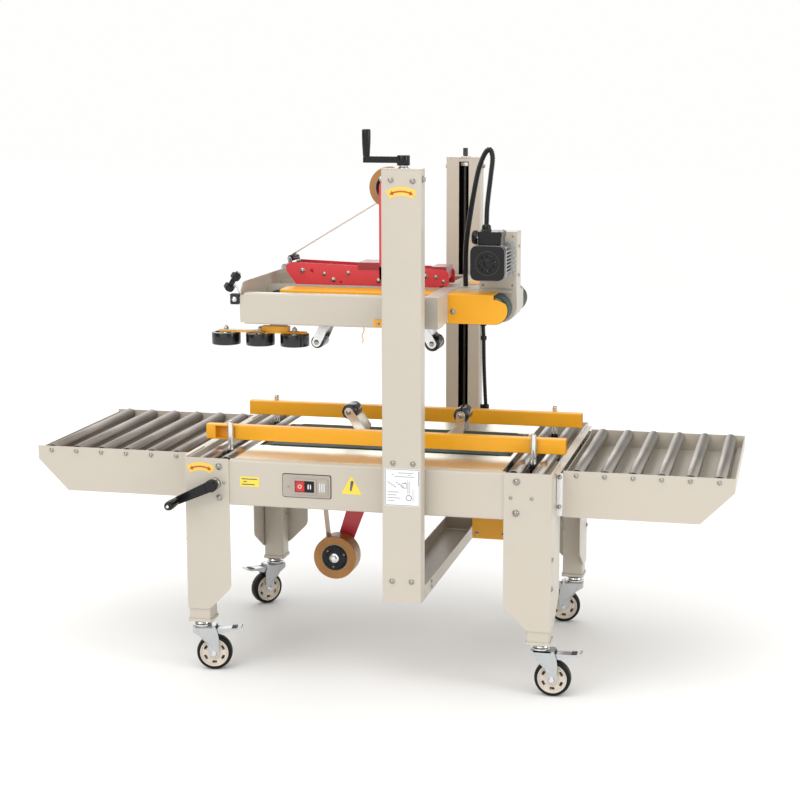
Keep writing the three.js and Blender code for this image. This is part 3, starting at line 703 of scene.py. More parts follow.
panels = Piece("bed_side_panels", "frame", "cream_paint", "cream_paint", "black_paint")
PANEL_LIP = 25.0
for s in SIDES:
    lip = PANEL_FACE - PANEL_LIP
    fold = folded_edge(
        s, (lip, PANEL_TOP), (PANEL_FACE, PANEL_TOP), (PANEL_FACE, PANEL_BOTTOM), (lip, PANEL_BOTTOM))
    start = PANEL_LIP - BEND + BEND_RUN
    end, length, half = fold.length - start, fold.length, fold.length / 2
    sheet = [(-LEG_INNER, 0), (LEG_INNER, 0), (LEG_INNER, start), (BED_HALF, start), (BED_HALF, end),
             (LEG_INNER, end), (LEG_INNER, length), (-LEG_INNER, length), (-LEG_INNER, end), (-BED_HALF, end),
             (-BED_HALF, start), (-LEG_INNER, start)]
    switch_hole = [rectangle((-193.5, -137), (half - 16, half + 16), 2)] if s < 0 else []
    panels.sheet("x", sheet, fold, SHEET, holes=switch_hole)
    panels.block((s * 504.6, s * 501), (-366, 366), (PANEL_BOTTOM, PANEL_TOP - 0.2))
    panels.block((s * 504.8, s * 524), (-330, 330), (PANEL_TOP - SHEET, PANEL_TOP))
    # the cross sheets near each end are painted black: painted shade for the dark inside of the bed seen
    # through the gaps
    panels.block((s * 362, s * 378), (-366.6, 366.6), (500, 580), 1)
    panels.block((-363, 363), (s * 60, s * 63), (500, 606))
    panels.block((76, 158), (s * 370.2, s * 378.4), (500, 600))
panels.finish(edge=0.9, replaces="bed_frame")

slider_beds = Piece("belt_slider_beds", "frame", "stainless", "stainless")
for s in SIDES:
    slider_beds.block((-285, 285), (s * 64, s * 153), (604, 609))
slider_beds.finish(edge=1.5)

legs = Piece("legs", "frame", "cream_paint", "cream_paint")
for sx in SIDES:
    for sy in SIDES:
        corners = (LEG_INNER, LEG_FACE), (LEG_OUTER, LEG_FACE), (LEG_OUTER, LEG_BACK)
        fold = Fold([(sx * x, sy * y) for x, y in corners], BEND, -sx * sy)
        length = fold.length
        sheet = [(LEG_TOP, 0), (LEG_BOTTOM + 64, 0), (LEG_BOTTOM, 64), (LEG_BOTTOM, length - 95),
                 (LEG_BOTTOM + 60, length), (LEG_TOP, length)]
        slots = [bar((z, 94), (z + 34, 94), 5) for z in (262, 352)] if sy > 0 else []
        legs.sheet("z", rounded(sheet, [3, 14, 14, 14, 14, 3]), fold, SHEET, holes=slots)
        legs.block((sx * (LEG_INNER + 16), sx * (LEG_INNER + 1)), (sy * 369.8, sy * 368),
                   (LEG_BOTTOM + 70, 480))
legs.finish(edge=1.2)

feet = Piece("telescoping_feet", "frame", "cream_paint", "cream_paint", "zinc")
for sx in SIDES:
    for sy in SIDES:
        x0, x1 = sx * (LEG_OUTER - 3.2), sx * (LEG_OUTER - 64.5)
        y0, y1 = sy * (LEG_FACE - 3.2), sy * (LEG_FACE - 64.5)
        xs, ys = sorted((x0, x1)), sorted((y0, y1))
        section, inner, flange = (
            rectangle((xs[0] + inset, xs[1] - inset), (ys[0] + inset, ys[1] - inset), radius)
            for inset, radius in ((0, 6), (4, 4), (-3, 6))
        )
        feet.plate("z", section, FOOT_BOTTOM + 8, 400, 0, holes=[inner])
        feet.plate("z", flange, FOOT_BOTTOM, FOOT_BOTTOM + 8, 0)
        cx, cy = (x0 + x1) / 2, (y0 + y1) / 2
        for z in (282, 372):
            feet.bolt("x", cy, z, x1 - sx * 0.2, -sx, 9, 1, domed=False)
        feet.puck("z", 12, 153, 164, cx, cy, 1, 6)
feet.finish(edge=0.8)

bolts = Piece("bed_bolts", "frame", "zinc", "bolt_steel")
for x, z in ((-409, 593), (-395, 549), (-409, 506), (415, 592), (414, 507), (400, 548), (456, 548)):
    small = z in (548, 549)
    for s in SIDES:
        bolts.bolt("y", x, z, s * LEG_FACE, s, 6.5 if small else 10.5, washer=not small)
for s in SIDES:
    for z in (300, 380):
        for y in (-355, 355):
            bolts.bolt("x", y, z, s * LEG_OUTER, s, 8)
bolts.finish(edge=0.3)

guide_bar = Piece("rail_guide_bar", "frame", "zinc", "chrome")
guide_bar.rod("y", 8, -366, 366, GUIDE_BAR_X, CRANK_Z)
guide_bar.finish(edge=0)

bearing = Piece("crank_bearing", "frame", "zinc", "bolt_steel")
bearing.turn("y", [(8.6, -371), (17, -371), (17, -384), (15, -386), (8.6, -386), (8.6, -371)], CRANK_X,
             CRANK_Z)
bearing.finish(edge=0.4)

lower_case = Piece("lower_drive_case", "frame", "gold_paint", "gold_paint", "bolt_steel")
lower_case.plate("y", rectangle((236, 340), (349, 540), 4), -61, 12)
lower_case.plate("y", rectangle((239, 337), (352, 537), 4), -62.5, -61)
for x in (250, 326):
    for z in (364, 470):
        lower_case.bolt("y", x, z, -62.5, -1, 6, 1)
lower_case.finish(edge=1.4)

keep("deck_plate", "stainless", 0.9)

# ------------------------------------------------------------------ switch and stickers
switch = Piece("switch_plate", "frame", "black_plastic", "switch_grey", "black_plastic", "chrome",
               "bolt_steel")
switch.plate("y", rectangle((-227, -93), (519, 581), 6), -373, -370.2, 0,
             [rectangle((-193, -138), (533, 565), 2)])
switch.plate("y", rectangle((-199, -132), (528, 570), 4), -375.5, -373, 0,
             [rectangle((-193, -138), (533, 565), 2)])
switch.plate("y", rectangle((-229, -91), (517, 583), 7), -370.4, -370.1, 1,
             [rectangle((-226, -94), (520, 580), 6)])
switch.plate("y", rectangle((-131, -100), (526, 572), 5), -375, -373, 0)
switch.plate("y", rectangle((-128, -103), (529, 569), 4), -375.6, -375, 0)
for x in (-121.5, -115.5, -109.5):
    switch.plate("y", bar((x, 538), (x, 560), 1.6), -377, -375.6, 2)
switch.bolt("y", -211, 547, -373, -1, 4.5, 3, washer=False)
switch.plate("y", rectangle((-195, -136), (531, 567), 2), -369.5, -368, 1)
switch.finish(edge=0.7)


def button(node, finish_name, mark):
    (x0, x1), (y0, _), (z0, z1) = spans(node)
    middle_x, middle_z = (x0 + x1) / 2, (z0 + z1) / 2
    piece = Piece(node + "_cap", node, "red_plastic" if node == "stop_button" else "black_plastic",
                  finish_name, "sticker_white")
    piece.plate("y", rectangle((x0, x1), (z0, z1), 2.5), y0 + 1.4, y0 + 12)
    piece.plate("y", rectangle((x0 + 3, x1 - 3), (z0 + 3, z1 - 3), 3), y0 + 0.3, y0 + 1.4)
    if mark == "ring":
        piece.plate("y", ring((middle_x, middle_z), 5.4), y0, y0 + 0.4, 1, [ring((middle_x, middle_z), 3.9)])
    else:
        for shift in (-3.2, 3.2):
            piece.plate("y", bar((middle_x + shift, middle_z - 5), (middle_x + shift, middle_z + 5), 1.5),
                        y0, y0 + 0.4, 1)
    piece.finish(edge=0.5, replaces=node)


button("stop_button", "red_plastic", "ring")
button("start_button", "black_plastic", "bars")


ARROW_SWEEP = 34


def arrow_sticker(name, body, x, z, radius, face):
    """A curved turn-this-way arrow on its yellow patch, on a face that looks towards -y."""
    patch = Piece(name, body, "gold_paint", "sticker_amber", "orange_ink")
    centre = (x, z - radius)
    band = (arc(centre, radius + 13, 90 - ARROW_SWEEP, 90 + ARROW_SWEEP, 16)
            + arc(centre, radius - 10, 90 + ARROW_SWEEP, 90 - ARROW_SWEEP, 16))
    patch.plate("y", rounded(band, 1.0, 2), face, face - 0.35, 0)
    line = (arc(centre, radius + 3, 90 - ARROW_SWEEP * 0.66, 90 + ARROW_SWEEP * 0.66, 16)
            + arc(centre, radius - 1.5, 90 + ARROW_SWEEP * 0.66, 90 - ARROW_SWEEP * 0.66, 16))
    patch.plate("y", line, face - 0.35, face - 0.6, 1)
    for end in SIDES:
        a = 90 - end * ARROW_SWEEP * 0.66
        tip = arc(centre, radius + 0.8, a - end * 8, a - end * 8, 1)[0]
        wings = [arc(centre, radius + r, a + end * 1.5, a + end * 1.5, 1)[0] for r in (7, -5.5)]
        patch.plate("y", [tip, *wings], face - 0.35, face - 0.6, 1)
    patch.finish(edge=0)


arrow_sticker("leg_arrow_sticker", "frame", -462, 590, 62, -LEG_FACE - 0.2)
arrow_sticker("column_arrow_sticker", "frame", 118, 1349, 62, -COLUMN_FACE - 0.2)

notice = Piece("plain_notices", "frame", "gold_paint", "sticker_yellow", "ink_grey", "sticker_white")
notice.plate("y", rectangle((-350, -296), (540, 568), 2), -370, -370.4, 0)
for i, (a, b) in enumerate(((-345, -301), (-340, -330), (-345, -308))):
    notice.block((a, b), (-370.4, -370.6), (560 - 7.5 * i, 562.8 - 7.5 * i), 1)
triangle = [(-64, 534), (-6, 534), (-35, 585)]
notice.plate("y", rounded(triangle, 5), -370, -370.4, 0)
notice.plate("y", bar((-33, 567), (-37, 545), 4.4, 2.4), -370.4, -370.6, 1)
notice.plate("y", rectangle((72, 167), (523, 624), 2), -COLUMN_FACE, -COLUMN_FACE - 0.4, 2)
leaf = -COLUMN_FACE - 0.4
notice.plate("y", rectangle((73.5, 165.5), (524.5, 622.5), 2), leaf, leaf - 0.1, 1,
             [rectangle((74.7, 164.3), (525.7, 621.3), 1)])
for x0, x1, z in ((98, 152, 602), (90, 96, 607), (136, 142, 607), (80, 110, 560), (80, 104, 552),
                  (80, 114, 544),
                  (80, 98, 536), (108, 150, 612), (118, 132, 584), (118, 132, 572)):
    notice.block((x0, x1), (leaf, leaf - 0.2), (z, z + 1.2), 1)
for x, z0, z1 in ((134, 556, 594), (138, 556, 590), (163, 580, 618), (118, 572, 584), (131, 572, 584),
                  (148, 536, 570)):
    notice.block((x, x + 0.9), (leaf, leaf - 0.2), (z0, z1), 1)
notice.plate("y", ring((137, 546), 8), leaf, leaf - 0.2, 1, [ring((137, 546), 6.4)])
for k in range(9):
    x, z = 80 + 5.5 * k, 588 - 3.5 * (k % 4) - 1.5 * (k % 3)
    notice.plate("y", bar((x, z), (x + 5, z - 4 + 3 * (k % 3)), 0.7), leaf, leaf - 0.2, 1)
notice.finish(edge=0)

# ------------------------------------------------------------------ columns, tie and lead screws
SLOT_X0, SLOT_X1, SLOT_LOW, SLOT_TOP = 103.0, 133.0, 640.0, 1394.0
COLUMN_BACK = COLUMN_FACE - 48.0


def column(s, name, node):
    """A folded box section with a slot on its inner side, a cap and a bearing plate."""
    shell = Piece(name, "frame", "cream_paint", "cream_paint")
    y, back = s * COLUMN_FACE, s * COLUMN_BACK
    section = [(SLOT_X0, back), (COLUMN_X0, back), (COLUMN_X0, y), (COLUMN_X1, y), (COLUMN_X1, back),
               (SLOT_X1, back)]
    fold = Fold(section, BEND, -s, 6)
    cap = COLUMN_TOP - SHEET
    shell.sheet("z", [(COLUMN_BOTTOM, 0), (cap, 0), (cap, fold.length), (COLUMN_BOTTOM, fold.length)], fold,
                SHEET)
    skin = back + s * SHEET
    for low, high in ((COLUMN_BOTTOM, SLOT_LOW), (SLOT_TOP, cap - 0.5)):
        shell.block((SLOT_X0 + 0.1, SLOT_X1 - 0.1), (back, skin), (low, high))
    top = rectangle((COLUMN_X0, COLUMN_X1), sorted((y, back)), BEND)
    shell.plate("z", top, cap + 0.2, COLUMN_TOP, 0, [ring((SCREW_X, s * SCREW_Y), 9)])
    shell.block((COLUMN_X0 + SHEET, COLUMN_X1 - SHEET), (y - s * SHEET, skin), (300, 312))
    if s > 0:
        tie = Fold([(COLUMN_X0, 295), (COLUMN_X0, 255), (COLUMN_X1, 255), (COLUMN_X1, 295)], BEND, 1)
        reach = COLUMN_BACK - 0.4
        shell.sheet("y", [(-reach, 0), (reach, 0), (reach, tie.length), (-reach, tie.length)], tie, SHEET)
    shell.finish(edge=0.9, replaces=node)


column(-1, "column_near_shell", "column_near")
column(1, "column_far_shell", "column_far_with_tie")

fasteners = Piece("column_bolts", "frame", "zinc", "bolt_steel")
for s in SIDES:
    for x, z in ((90, 1378), (148, 1376), (94, 638), (148, 638), (91, 316), (144, 317)):
        fasteners.bolt("y", x, z, s * (COLUMN_FACE if s < 0 else COLUMN_FACE - 5.8), s, 8.0)
    fasteners.bolt("x", s * 409, 1380, COLUMN_X1, 1, 10, domed=False)
    fasteners.bolt("x", s * 409, 1380, COLUMN_X0, -1, 10, domed=False)
for s in SIDES:
    for z in (270, 285):
        fasteners.bolt("x", s * 300, z, COLUMN_X1, 1, 6)
fasteners.finish(edge=0.3)


THREAD_LEAD, THREAD_DEPTH = 5.0, 1.1
SCREW_RADIUS, SCREW_SIDES = 8.0, 16


def lead_screw(side):
    """A round bar whose surface follows one long thread."""
    node = f"lift_screw_{side}"
    screw = Piece(f"lead_screw_{side}", node, "zinc", "dark_steel")
    x, y, _ = middle(node)
    low, high = spans(node)[2]
    rows = int((high - low) / THREAD_LEAD * 4)
    points = []
    for row in range(rows + 1):
        z = low + (high - low) * row / rows
        for k in range(SCREW_SIDES):
            phase = ((z / THREAD_LEAD) - k / SCREW_SIDES) % 1.0
            r = SCREW_RADIUS - THREAD_DEPTH * (1 - abs(2 * phase - 1))
            a = 2 * math.pi * k / SCREW_SIDES
            points.append((x + r * math.cos(a), y + r * math.sin(a), z))
    screw.take(points, ring_faces(rows + 1, SCREW_SIDES))
    screw.finish(edge=0, smooth=60, replaces=node)


lead_screw("near")
lead_screw("far")

bearings = Piece("screw_bearings", "frame", "zinc", "cream_plastic", "chrome", "black_plastic")
for s in SIDES:
    y = s * SCREW_Y
    bearings.plate("z", rectangle((105, 131), (y - 14, y + 14), 3), 1381, 1391, 1, [ring((SCREW_X, y), 9)])
    bearings.plate("z", rectangle((96, 140), (y - 18, y + 18), 4), 312.3, 322, 0, [ring((SCREW_X, y), 9)])
    bearings.turn("z",
                  [(9, COLUMN_TOP), (16, COLUMN_TOP), (16, 1409.5), (14, 1411), (9, 1411), (9, COLUMN_TOP)],
                  SCREW_X, y, 1)
    # black sheets line the inside of each column behind the screw: painted shade for the dark inside seen
    # through the slot
    bearings.block((72, 162), (s * 419, s * 420.5), (330, 1396), 2)
    bearings.block((72, 74), (s * 384, s * 419), (330, 1396), 2)
    bearings.block((160, 162), (s * 384, s * 419), (330, 1396), 2)
bearings.finish(edge=0.7)

# ------------------------------------------------------------------ cranks
crank = Piece("height_crank", "lift_screw_near", "black_metal", "black_plastic", "chrome")
grip_x, grip_y, _ = middle("lift_crank_grip")
crank.turn("z", [(0, 1411.2), (11, 1411.2), (11.6, 1412), (11.6, 1415), (0, 1415)], SCREW_X, -SCREW_Y, 1)
crank.turn("z", [(0, 1414.6), (16, 1414.6), (17, 1416), (17, 1438.5), (15.5, 1441), (6, 1441.5), (0, 1440)],
           SCREW_X, -SCREW_Y, 0)
crank.plate("z", bar((SCREW_X - 4, -SCREW_Y), (grip_x, -SCREW_Y), 12.5, 9), 1421, 1436)
crank.plate("z", bar((SCREW_X - 14, -SCREW_Y), (grip_x + 6, -SCREW_Y), 8.5, 6), 1436, 1437.4)
crank.rod("z", 4, 1435, 1444, grip_x, grip_y, 1)
crank.finish(edge=1.6, segments=3, replaces="lift_crank")

grip = Piece("height_crank_grip", "lift_crank_grip", "black_plastic", "black_plastic", "chrome")
GRIP_LOW, GRIP_HIGH = spans("lift_crank_grip")[2]
grip.turn("z",
          [(4.5, GRIP_LOW), (8.6, GRIP_LOW), (9, GRIP_LOW + 3), (9.6, GRIP_LOW + 12), (10.9, GRIP_LOW + 32),
                (11.4, GRIP_LOW + 50), (11.4, GRIP_LOW + 66.5), (10.6, GRIP_LOW + 68.6), (9, GRIP_HIGH),
                (0, GRIP_HIGH), (0, GRIP_LOW + 12), (4.5, GRIP_LOW + 12), (4.5, GRIP_LOW)], grip_x, grip_y, 0)
grip.finish(edge=0, smooth=50, replaces="lift_crank_grip")

GRIP = (CRANK_X - 97, CRANK_Z - 45)
side_crank = Piece("rail_crank", "width_crank", "black_metal", "black_plastic", "chrome", "zinc")
side_crank.rod("y", 8, -400, 355, CRANK_X, CRANK_Z, 2)
side_crank.turn("y", [(0, -391), (15, -391), (17, -393), (17, -411), (14, -414), (0, -414)], CRANK_X,
                CRANK_Z, 0)
side_crank.plate("y", bar((CRANK_X, CRANK_Z), GRIP, 15, 11), -411.5, -399)
side_crank.turn("y", [(0, -411), (9, -411), (10.4, -420), (12, -438), (13, -458), (12.6, -474), (10.8, -481),
                      (6.5, -484.4), (0, -484.4)], *GRIP, 0)
side_crank.turn("y", [(0, -484.3), (4.4, -484.3), (4, -485), (0, -485)], *GRIP, 1)
side_crank.finish(edge=1.2, smooth=45, segments=3, replaces="width_crank")

# ------------------------------------------------------------------ roller tables
for side in ("left", "right"):
    keep(f"table_frame_{side}", "cream_paint", 1.1)


def roller(node, face, finish_name="roller_steel"):
    """The moving piece of one free roller."""
    (x0, x1), (_, y1), (z0, z1) = spans(node)
    piece = Piece(node + "_tube", node, "zinc", finish_name, "black_plastic", "zinc")
    roller_shape(piece, (x0 + x1) / 2, (z0 + z1) / 2, (z1 - z0) / 2, y1 - 5, face)
    piece.finish(edge=0, smooth=45, replaces=node)


def roller_shape(piece, x, z, radius, half, face):
    """A roller: rolled-in tube ends, a black bearing at each end and its axle pins."""
    shell = [(radius - 3.5, -half + 1.6), (radius - 3.5, -half), (radius - 1.2, -half), (radius, -half + 1.2),
             (radius, half - 1.2), (radius - 1.2, half), (radius - 3.5, half), (radius - 3.5, half - 1.6)]
    piece.turn("y", shell, x, z, 0, 36)
    for s in SIDES:
        bearing_end = [(0, -1.7), (radius - 3.4, -1.7), (radius - 2.4, 1), (radius - 3, 3), (5.5, 3.4),
                       (0, 3.4)]
        piece.turn("y", [(r, s * (half + out)) for r, out in bearing_end], x, z, 1, 24)
        piece.rod("y", 4, s * (half - 1), s * face, x, z, 2, 16)


TABLE_SIDE = spans("table_frame_left")[1][1]
ROLLER_AXIS, ROLLER_RADIUS, FIXED_ROLLER_X, FIXED_ROLLER_HALF = 598, 17, 400, 336
table_bolts = {side: Piece(f"table_bolts_{side}", "frame", "zinc", "bolt_steel", "black_plastic",
                           "cream_paint",
                           "bright_zinc")
               for side in ("left", "right")}
for side, sx in (("left", -1), ("right", 1)):
    bolts = table_bolts[side]
    for i in range(6):
        node = f"table_roller_{side}_{i + 1}"
        # the left table's rollers take the darker steel copy: painted shade
        roller(node, TABLE_SIDE - SHEET - 0.4, "shaded_roller_steel" if side == "left" else "roller_steel")
        x, _, z = middle(node)
        for s in SIDES:
            bolts.bolt("y", x, z, s * TABLE_SIDE, s, 7)
            bolts.block((x - 9, x + 9), (s * (TABLE_SIDE - 3.2), s * (TABLE_SIDE - 6)), (z + 4, z + 13), 1)
    for s in SIDES:
        hook = rectangle(sorted((sx * 510.5, sx * 526.5)), (487, 604), 2)
        bolts.plate("y", hook, s * (TABLE_SIDE + 0.1), s * (TABLE_SIDE + 2.5), 3)
        for z in (593, 512):
            bolts.bolt("y", sx * 518, z, s * (TABLE_SIDE + 2.5), s, 7)
        ledge = rectangle(sorted((sx * 528.5, sx * 956)), (561, 574), 2)
        bolts.plate("y", ledge, s * (TABLE_SIDE - 3.2), s * (TABLE_SIDE - 5.4), 2)
    bolts.finish(edge=0.4)
    roller(f"bed_roller_{side}", PANEL_FACE - 4.4, "bright_roller_steel")
    fixed = Piece(f"fixed_bed_roller_{side}", "frame", "zinc", "bright_roller_steel", "black_plastic", "zinc")
    roller_shape(fixed, sx * FIXED_ROLLER_X, ROLLER_AXIS, ROLLER_RADIUS, FIXED_ROLLER_HALF, 366)
    fixed.finish(edge=0, smooth=45)

# ------------------------------------------------------------------ side rails
RAIL_BEND = 3.2
RAIL_INNER, RAIL_OUTER, RAIL_TOP, RAIL_BOTTOM, POST_Y = 179.0, 207.0, 676.0, 634.0, 216.0
RAIL_WINDOW = (-476, -433)


def side_rail(s, name, posts):
    """A folded box rail on two chrome posts whose feet slide on the width crank's shaft and the guide bar."""
    left, right = spans(name)[0]
    rail = Piece(name + "_channel", name, "gold_paint", "gold_paint", "chrome", "black_plastic", "bolt_steel")
    seam, y = (RAIL_INNER + RAIL_OUTER) / 2, s * POST_Y
    path = [(seam, RAIL_BOTTOM), (RAIL_OUTER, RAIL_BOTTOM), (RAIL_OUTER, RAIL_TOP), (RAIL_INNER, RAIL_TOP),
            (RAIL_INNER, RAIL_BOTTOM), (seam - 0.1, RAIL_BOTTOM)]
    fold = Fold([(s * across, z) for across, z in path], RAIL_BEND, s)
    wall = RAIL_OUTER - seam - RAIL_BEND + RAIL_BEND * math.pi / 2 - RAIL_BOTTOM - RAIL_BEND
    opening = rectangle(RAIL_WINDOW, (wall + RAIL_BOTTOM + 3.4, wall + RAIL_TOP - 3.4), 1)
    rail.sheet("x", [(left, 0), (right, 0), (right, fold.length), (left, fold.length)], fold, SHEET, 0,
               [opening])
    for x in posts:
        rail.rod("z", 8, 556, 688, x, y, 1, 28, 1.5)
        rail.puck("z", 6.5, 687, 690, x, y, 3, 6)
        rail.block((x - 9, x + 9), (s * (RAIL_OUTER + 0.1), y), (644, 668), 3)
        rail.turn("z", [(8, 584), (9.4, 584), (9.8, 585), (9.8, 607), (9.4, 608), (8, 608), (8, 584)], x, y,
                  2)
        bore = ring((CRANK_X if x < 0 else GUIDE_BAR_X, CRANK_Z), 8.6)
        foot = rectangle((x - 17, x + 17), (528, 562), 3)
        rail.plate("y", foot, s * (POST_Y - 15), s * (POST_Y + 15), 2, [bore])
    rail.finish(edge=1.2, replaces=name)


side_rail(-1, "side_rail_near", (-428, 434))
side_rail(1, "side_rail_far", (-428, 428))

# ------------------------------------------------------------------ belts and drums


def belt(node, body):
    """A flat belt on its two drums."""
    (x0, x1), (y0, y1), (z0, z1) = spans(node)
    z, r = (z0 + z1) / 2, (z1 - z0) / 2
    left, right = (x0 + r, z), (x1 - r, z)
    loop = Piece(node + "_band", body, "belt", "belt_rubber")
    loop.plate("y", bar(left, right, r, steps=28), y0, y1, 0, [bar(left, right, r - 4, steps=28)])
    loop.finish(edge=0.9, replaces=node)
    drums = Piece(node + "_drums", body, "zinc", "roller_steel", "dark_steel")
    for x, _ in (left, right):
        drums.turn("y", [(9, y0 + 1), (r - 6, y0 + 1), (r - 4.3, y0 + 4), (r - 4.2, (y0 + y1) / 2),
                         (r - 4.3, y1 - 4), (r - 6, y1 - 1), (9, y1 - 1), (9, y0 + 1)], x, z, 0, 48)
        s = 1 if y0 + y1 > 0 else -1
        drums.rod("y", 9, s * 64, s * 164, x, z, 1)
    drums.finish(edge=0, smooth=45)


for name in ("near", "far"):
    belt(f"lower_belt_{name}", "frame")
    belt(f"upper_belt_{name}", "head")

# ------------------------------------------------------------------ head frame
HEAD_LEFT, HEAD_RIGHT, HEAD_SIDE, HEAD_LOW, HEAD_TOP = -365.0, 187.0, 300.0, 978.0, 1063.0
GUARD_TOP, GUARD_LEFT = spans("belt_guard_near")[2][1], -292.0
SHAFT_X, SHAFT_Z = 312.0, 1016.0
head = Piece("head_panels", "head", "cream_paint", "cream_paint", "black_paint")
for s in SIDES:
    fold = folded_edge(s, (270, HEAD_TOP), (HEAD_SIDE, HEAD_TOP), (HEAD_SIDE, HEAD_LOW), (230, HEAD_LOW))
    start = HEAD_SIDE - 270 - BEND + BEND_RUN
    end = start + HEAD_TOP - HEAD_LOW - 2 * BEND
    sheet = [(HEAD_LEFT + 12, 0), (HEAD_RIGHT, 0), (HEAD_RIGHT, fold.length), (HEAD_LEFT + 12, fold.length),
             (HEAD_LEFT + 12, end), (HEAD_LEFT + 4, end - 1.5), (HEAD_LEFT, end - 7), (HEAD_LEFT, start + 7),
             (HEAD_LEFT + 4, start + 1.5), (HEAD_LEFT + 12, start)]
    head.sheet("x", sheet, fold, SHEET)
    head.block((HEAD_LEFT + 3.2, 345), (s * 60, s * 63), (985, HEAD_TOP - 0.3))
infeed = [(-296.8, HEAD_LOW + 3.2), (296.8, HEAD_LOW + 3.2), (296.8, HEAD_TOP), (272, 1091), (-272, 1091),
          (-296.8, HEAD_TOP)]
head.plate("x", rounded(infeed, [3, 3, 8, 10, 10, 8]), HEAD_LEFT, HEAD_LEFT + 3, 0)
windows = [rectangle((-52, 52), (984, 1055), 3)]
windows += [rectangle(sorted((s * 88, s * 171)), (984, 1058.6), 2) for s in SIDES]
cross_low, cross_top = HEAD_LOW + 3.2, HEAD_TOP - 3.2
head.plate("x", rectangle((-296.8, 296.8), (cross_low, cross_top)), HEAD_RIGHT - 3.2, HEAD_RIGHT - 0.2, 0,
           windows)
cross_section = [(143, HEAD_TOP - 14), (143, HEAD_TOP + 0.3), (HEAD_RIGHT, HEAD_TOP + 0.3),
                 (HEAD_RIGHT, HEAD_TOP - 12)]
cross = Fold(cross_section, BEND, -1)
head.sheet("y", [(-299, 0), (299, 0), (299, cross.length), (-299, cross.length)], cross, SHEET)
head.block((HEAD_RIGHT + 0.2, 345), (-88, 88), (1056.5, 1060))
head.finish(edge=1.2, replaces="head_frame")

case = Piece("upper_drive_case", "head", "cream_paint", "cream_paint", "black_paint", "bolt_steel")
CASE_LEFT, CASE_RIGHT, CASE_TOP, CASE_FRONT, CASE_BACK = 252, 356, 1222, -58, 10
top_case = [(CASE_LEFT, CASE_TOP), (CASE_LEFT, 1040)] + arc((SHAFT_X, SHAFT_Z), 46, 152, 352, 20)
top_case += [(CASE_RIGHT, 1060), (CASE_RIGHT, CASE_TOP)]
case.plate("y", rounded(top_case, [5, 3] + [0] * 21 + [3, 5]), CASE_FRONT, CASE_BACK)
cover = [(255, 1219), (255, 1066), (353, 1066), (353, 1219)]
case.plate("y", rounded(cover, 5), CASE_FRONT - 3, CASE_FRONT)
case.block((355.8, 356.3), (-34, -26), (1004, 1041), 1)
# the low box between the case and the far belt
side_box = [(300, 1055.6), (CASE_RIGHT, 1055.6), (CASE_RIGHT, 1004), (338, 980), (300, 980)]
case.plate("y", rounded(side_box, 3), CASE_BACK + 0.2, 58)
for x, z in ((262, 1210), (346, 1210), (262, 1074), (346, 1074)):
    case.bolt("y", x, z, CASE_FRONT - 3, -1, 5, 2, washer=False)
for z in (1100, 1180):
    case.bolt("x", -24, z, CASE_RIGHT, 1, 5, 2)
case.finish(edge=1.5)

GUARD_FACE = 168.0


def guard(name, s, replaces=()):
    """The yellow cover of one upper belt: a face with a round outfeed end and a folded top."""
    piece = Piece(name, "head", "gold_paint", "gold_paint", "bolt_steel")
    width = 78 if s < 0 else 105
    fold = folded_edge(s, (GUARD_FACE - width, GUARD_TOP), (GUARD_FACE, GUARD_TOP), (GUARD_FACE, HEAD_LOW))
    start, top = width - BEND + BEND_RUN, GUARD_TOP - BEND
    face = [(GUARD_LEFT, HEAD_LOW)] + arc((SHAFT_X, SHAFT_Z), 38, 270, 390, 12)
    face += [(322, 1045), (SHAFT_X, 1045), (SHAFT_X, top), (GUARD_LEFT, top)]
    face = rounded(face, [12] + [0] * 13 + [3, 3, 0, 0])
    sheet = [(x, start + top - z) for x, z in face]
    sheet[-1:] = [(SHAFT_X, 0), (GUARD_LEFT, 0), sheet[-1]]
    piece.sheet("x", sheet, fold, SHEET)
    for x in (200, -40, -280):
        piece.bolt("y", x, 1011, s * GUARD_FACE, s, 8.5, 1)
    piece.finish(edge=1.0, replaces=replaces)


guard("belt_guard_far_plate", 1)
guard("belt_guard_near_plate", -1, "belt_guard_near")

carriages = Piece("head_carriages", "head", "black_metal", "black_paint", "cast_aluminium", "bolt_steel")
for s in SIDES:
    carriages.block((76, 160), (s * 377.5, s * 374), (985, 1055))
    carriages.block((84, 90), (s * 377, s * 300.4), (985, 1055))
    carriages.block((146, 152), (s * 377, s * 300.4), (985, 1055))
    carriages.block((105, 131), (s * 375, s * 387), (990, 1050))
    carriages.plate("z", rectangle((96, 140), sorted((s * 385, s * 417)), 3), 990, 1050, 1,
                    [ring((SCREW_X, s * SCREW_Y), 8.7)])
    for x in (98, 138):
        for z in (1000, 1040):
            carriages.bolt("y", x, z, s * 374, -s, 6, 2)
carriages.finish(edge=1.0)

# ------------------------------------------------------------------ carton pressers
PRESS_Y, PRESS_XS = 235.0, [middle(f"press_roller_{i}")[0] for i in (1, 2, 3)]
_, _, (PRESS_LOW, PRESS_TOP) = spans("press_roller_1")


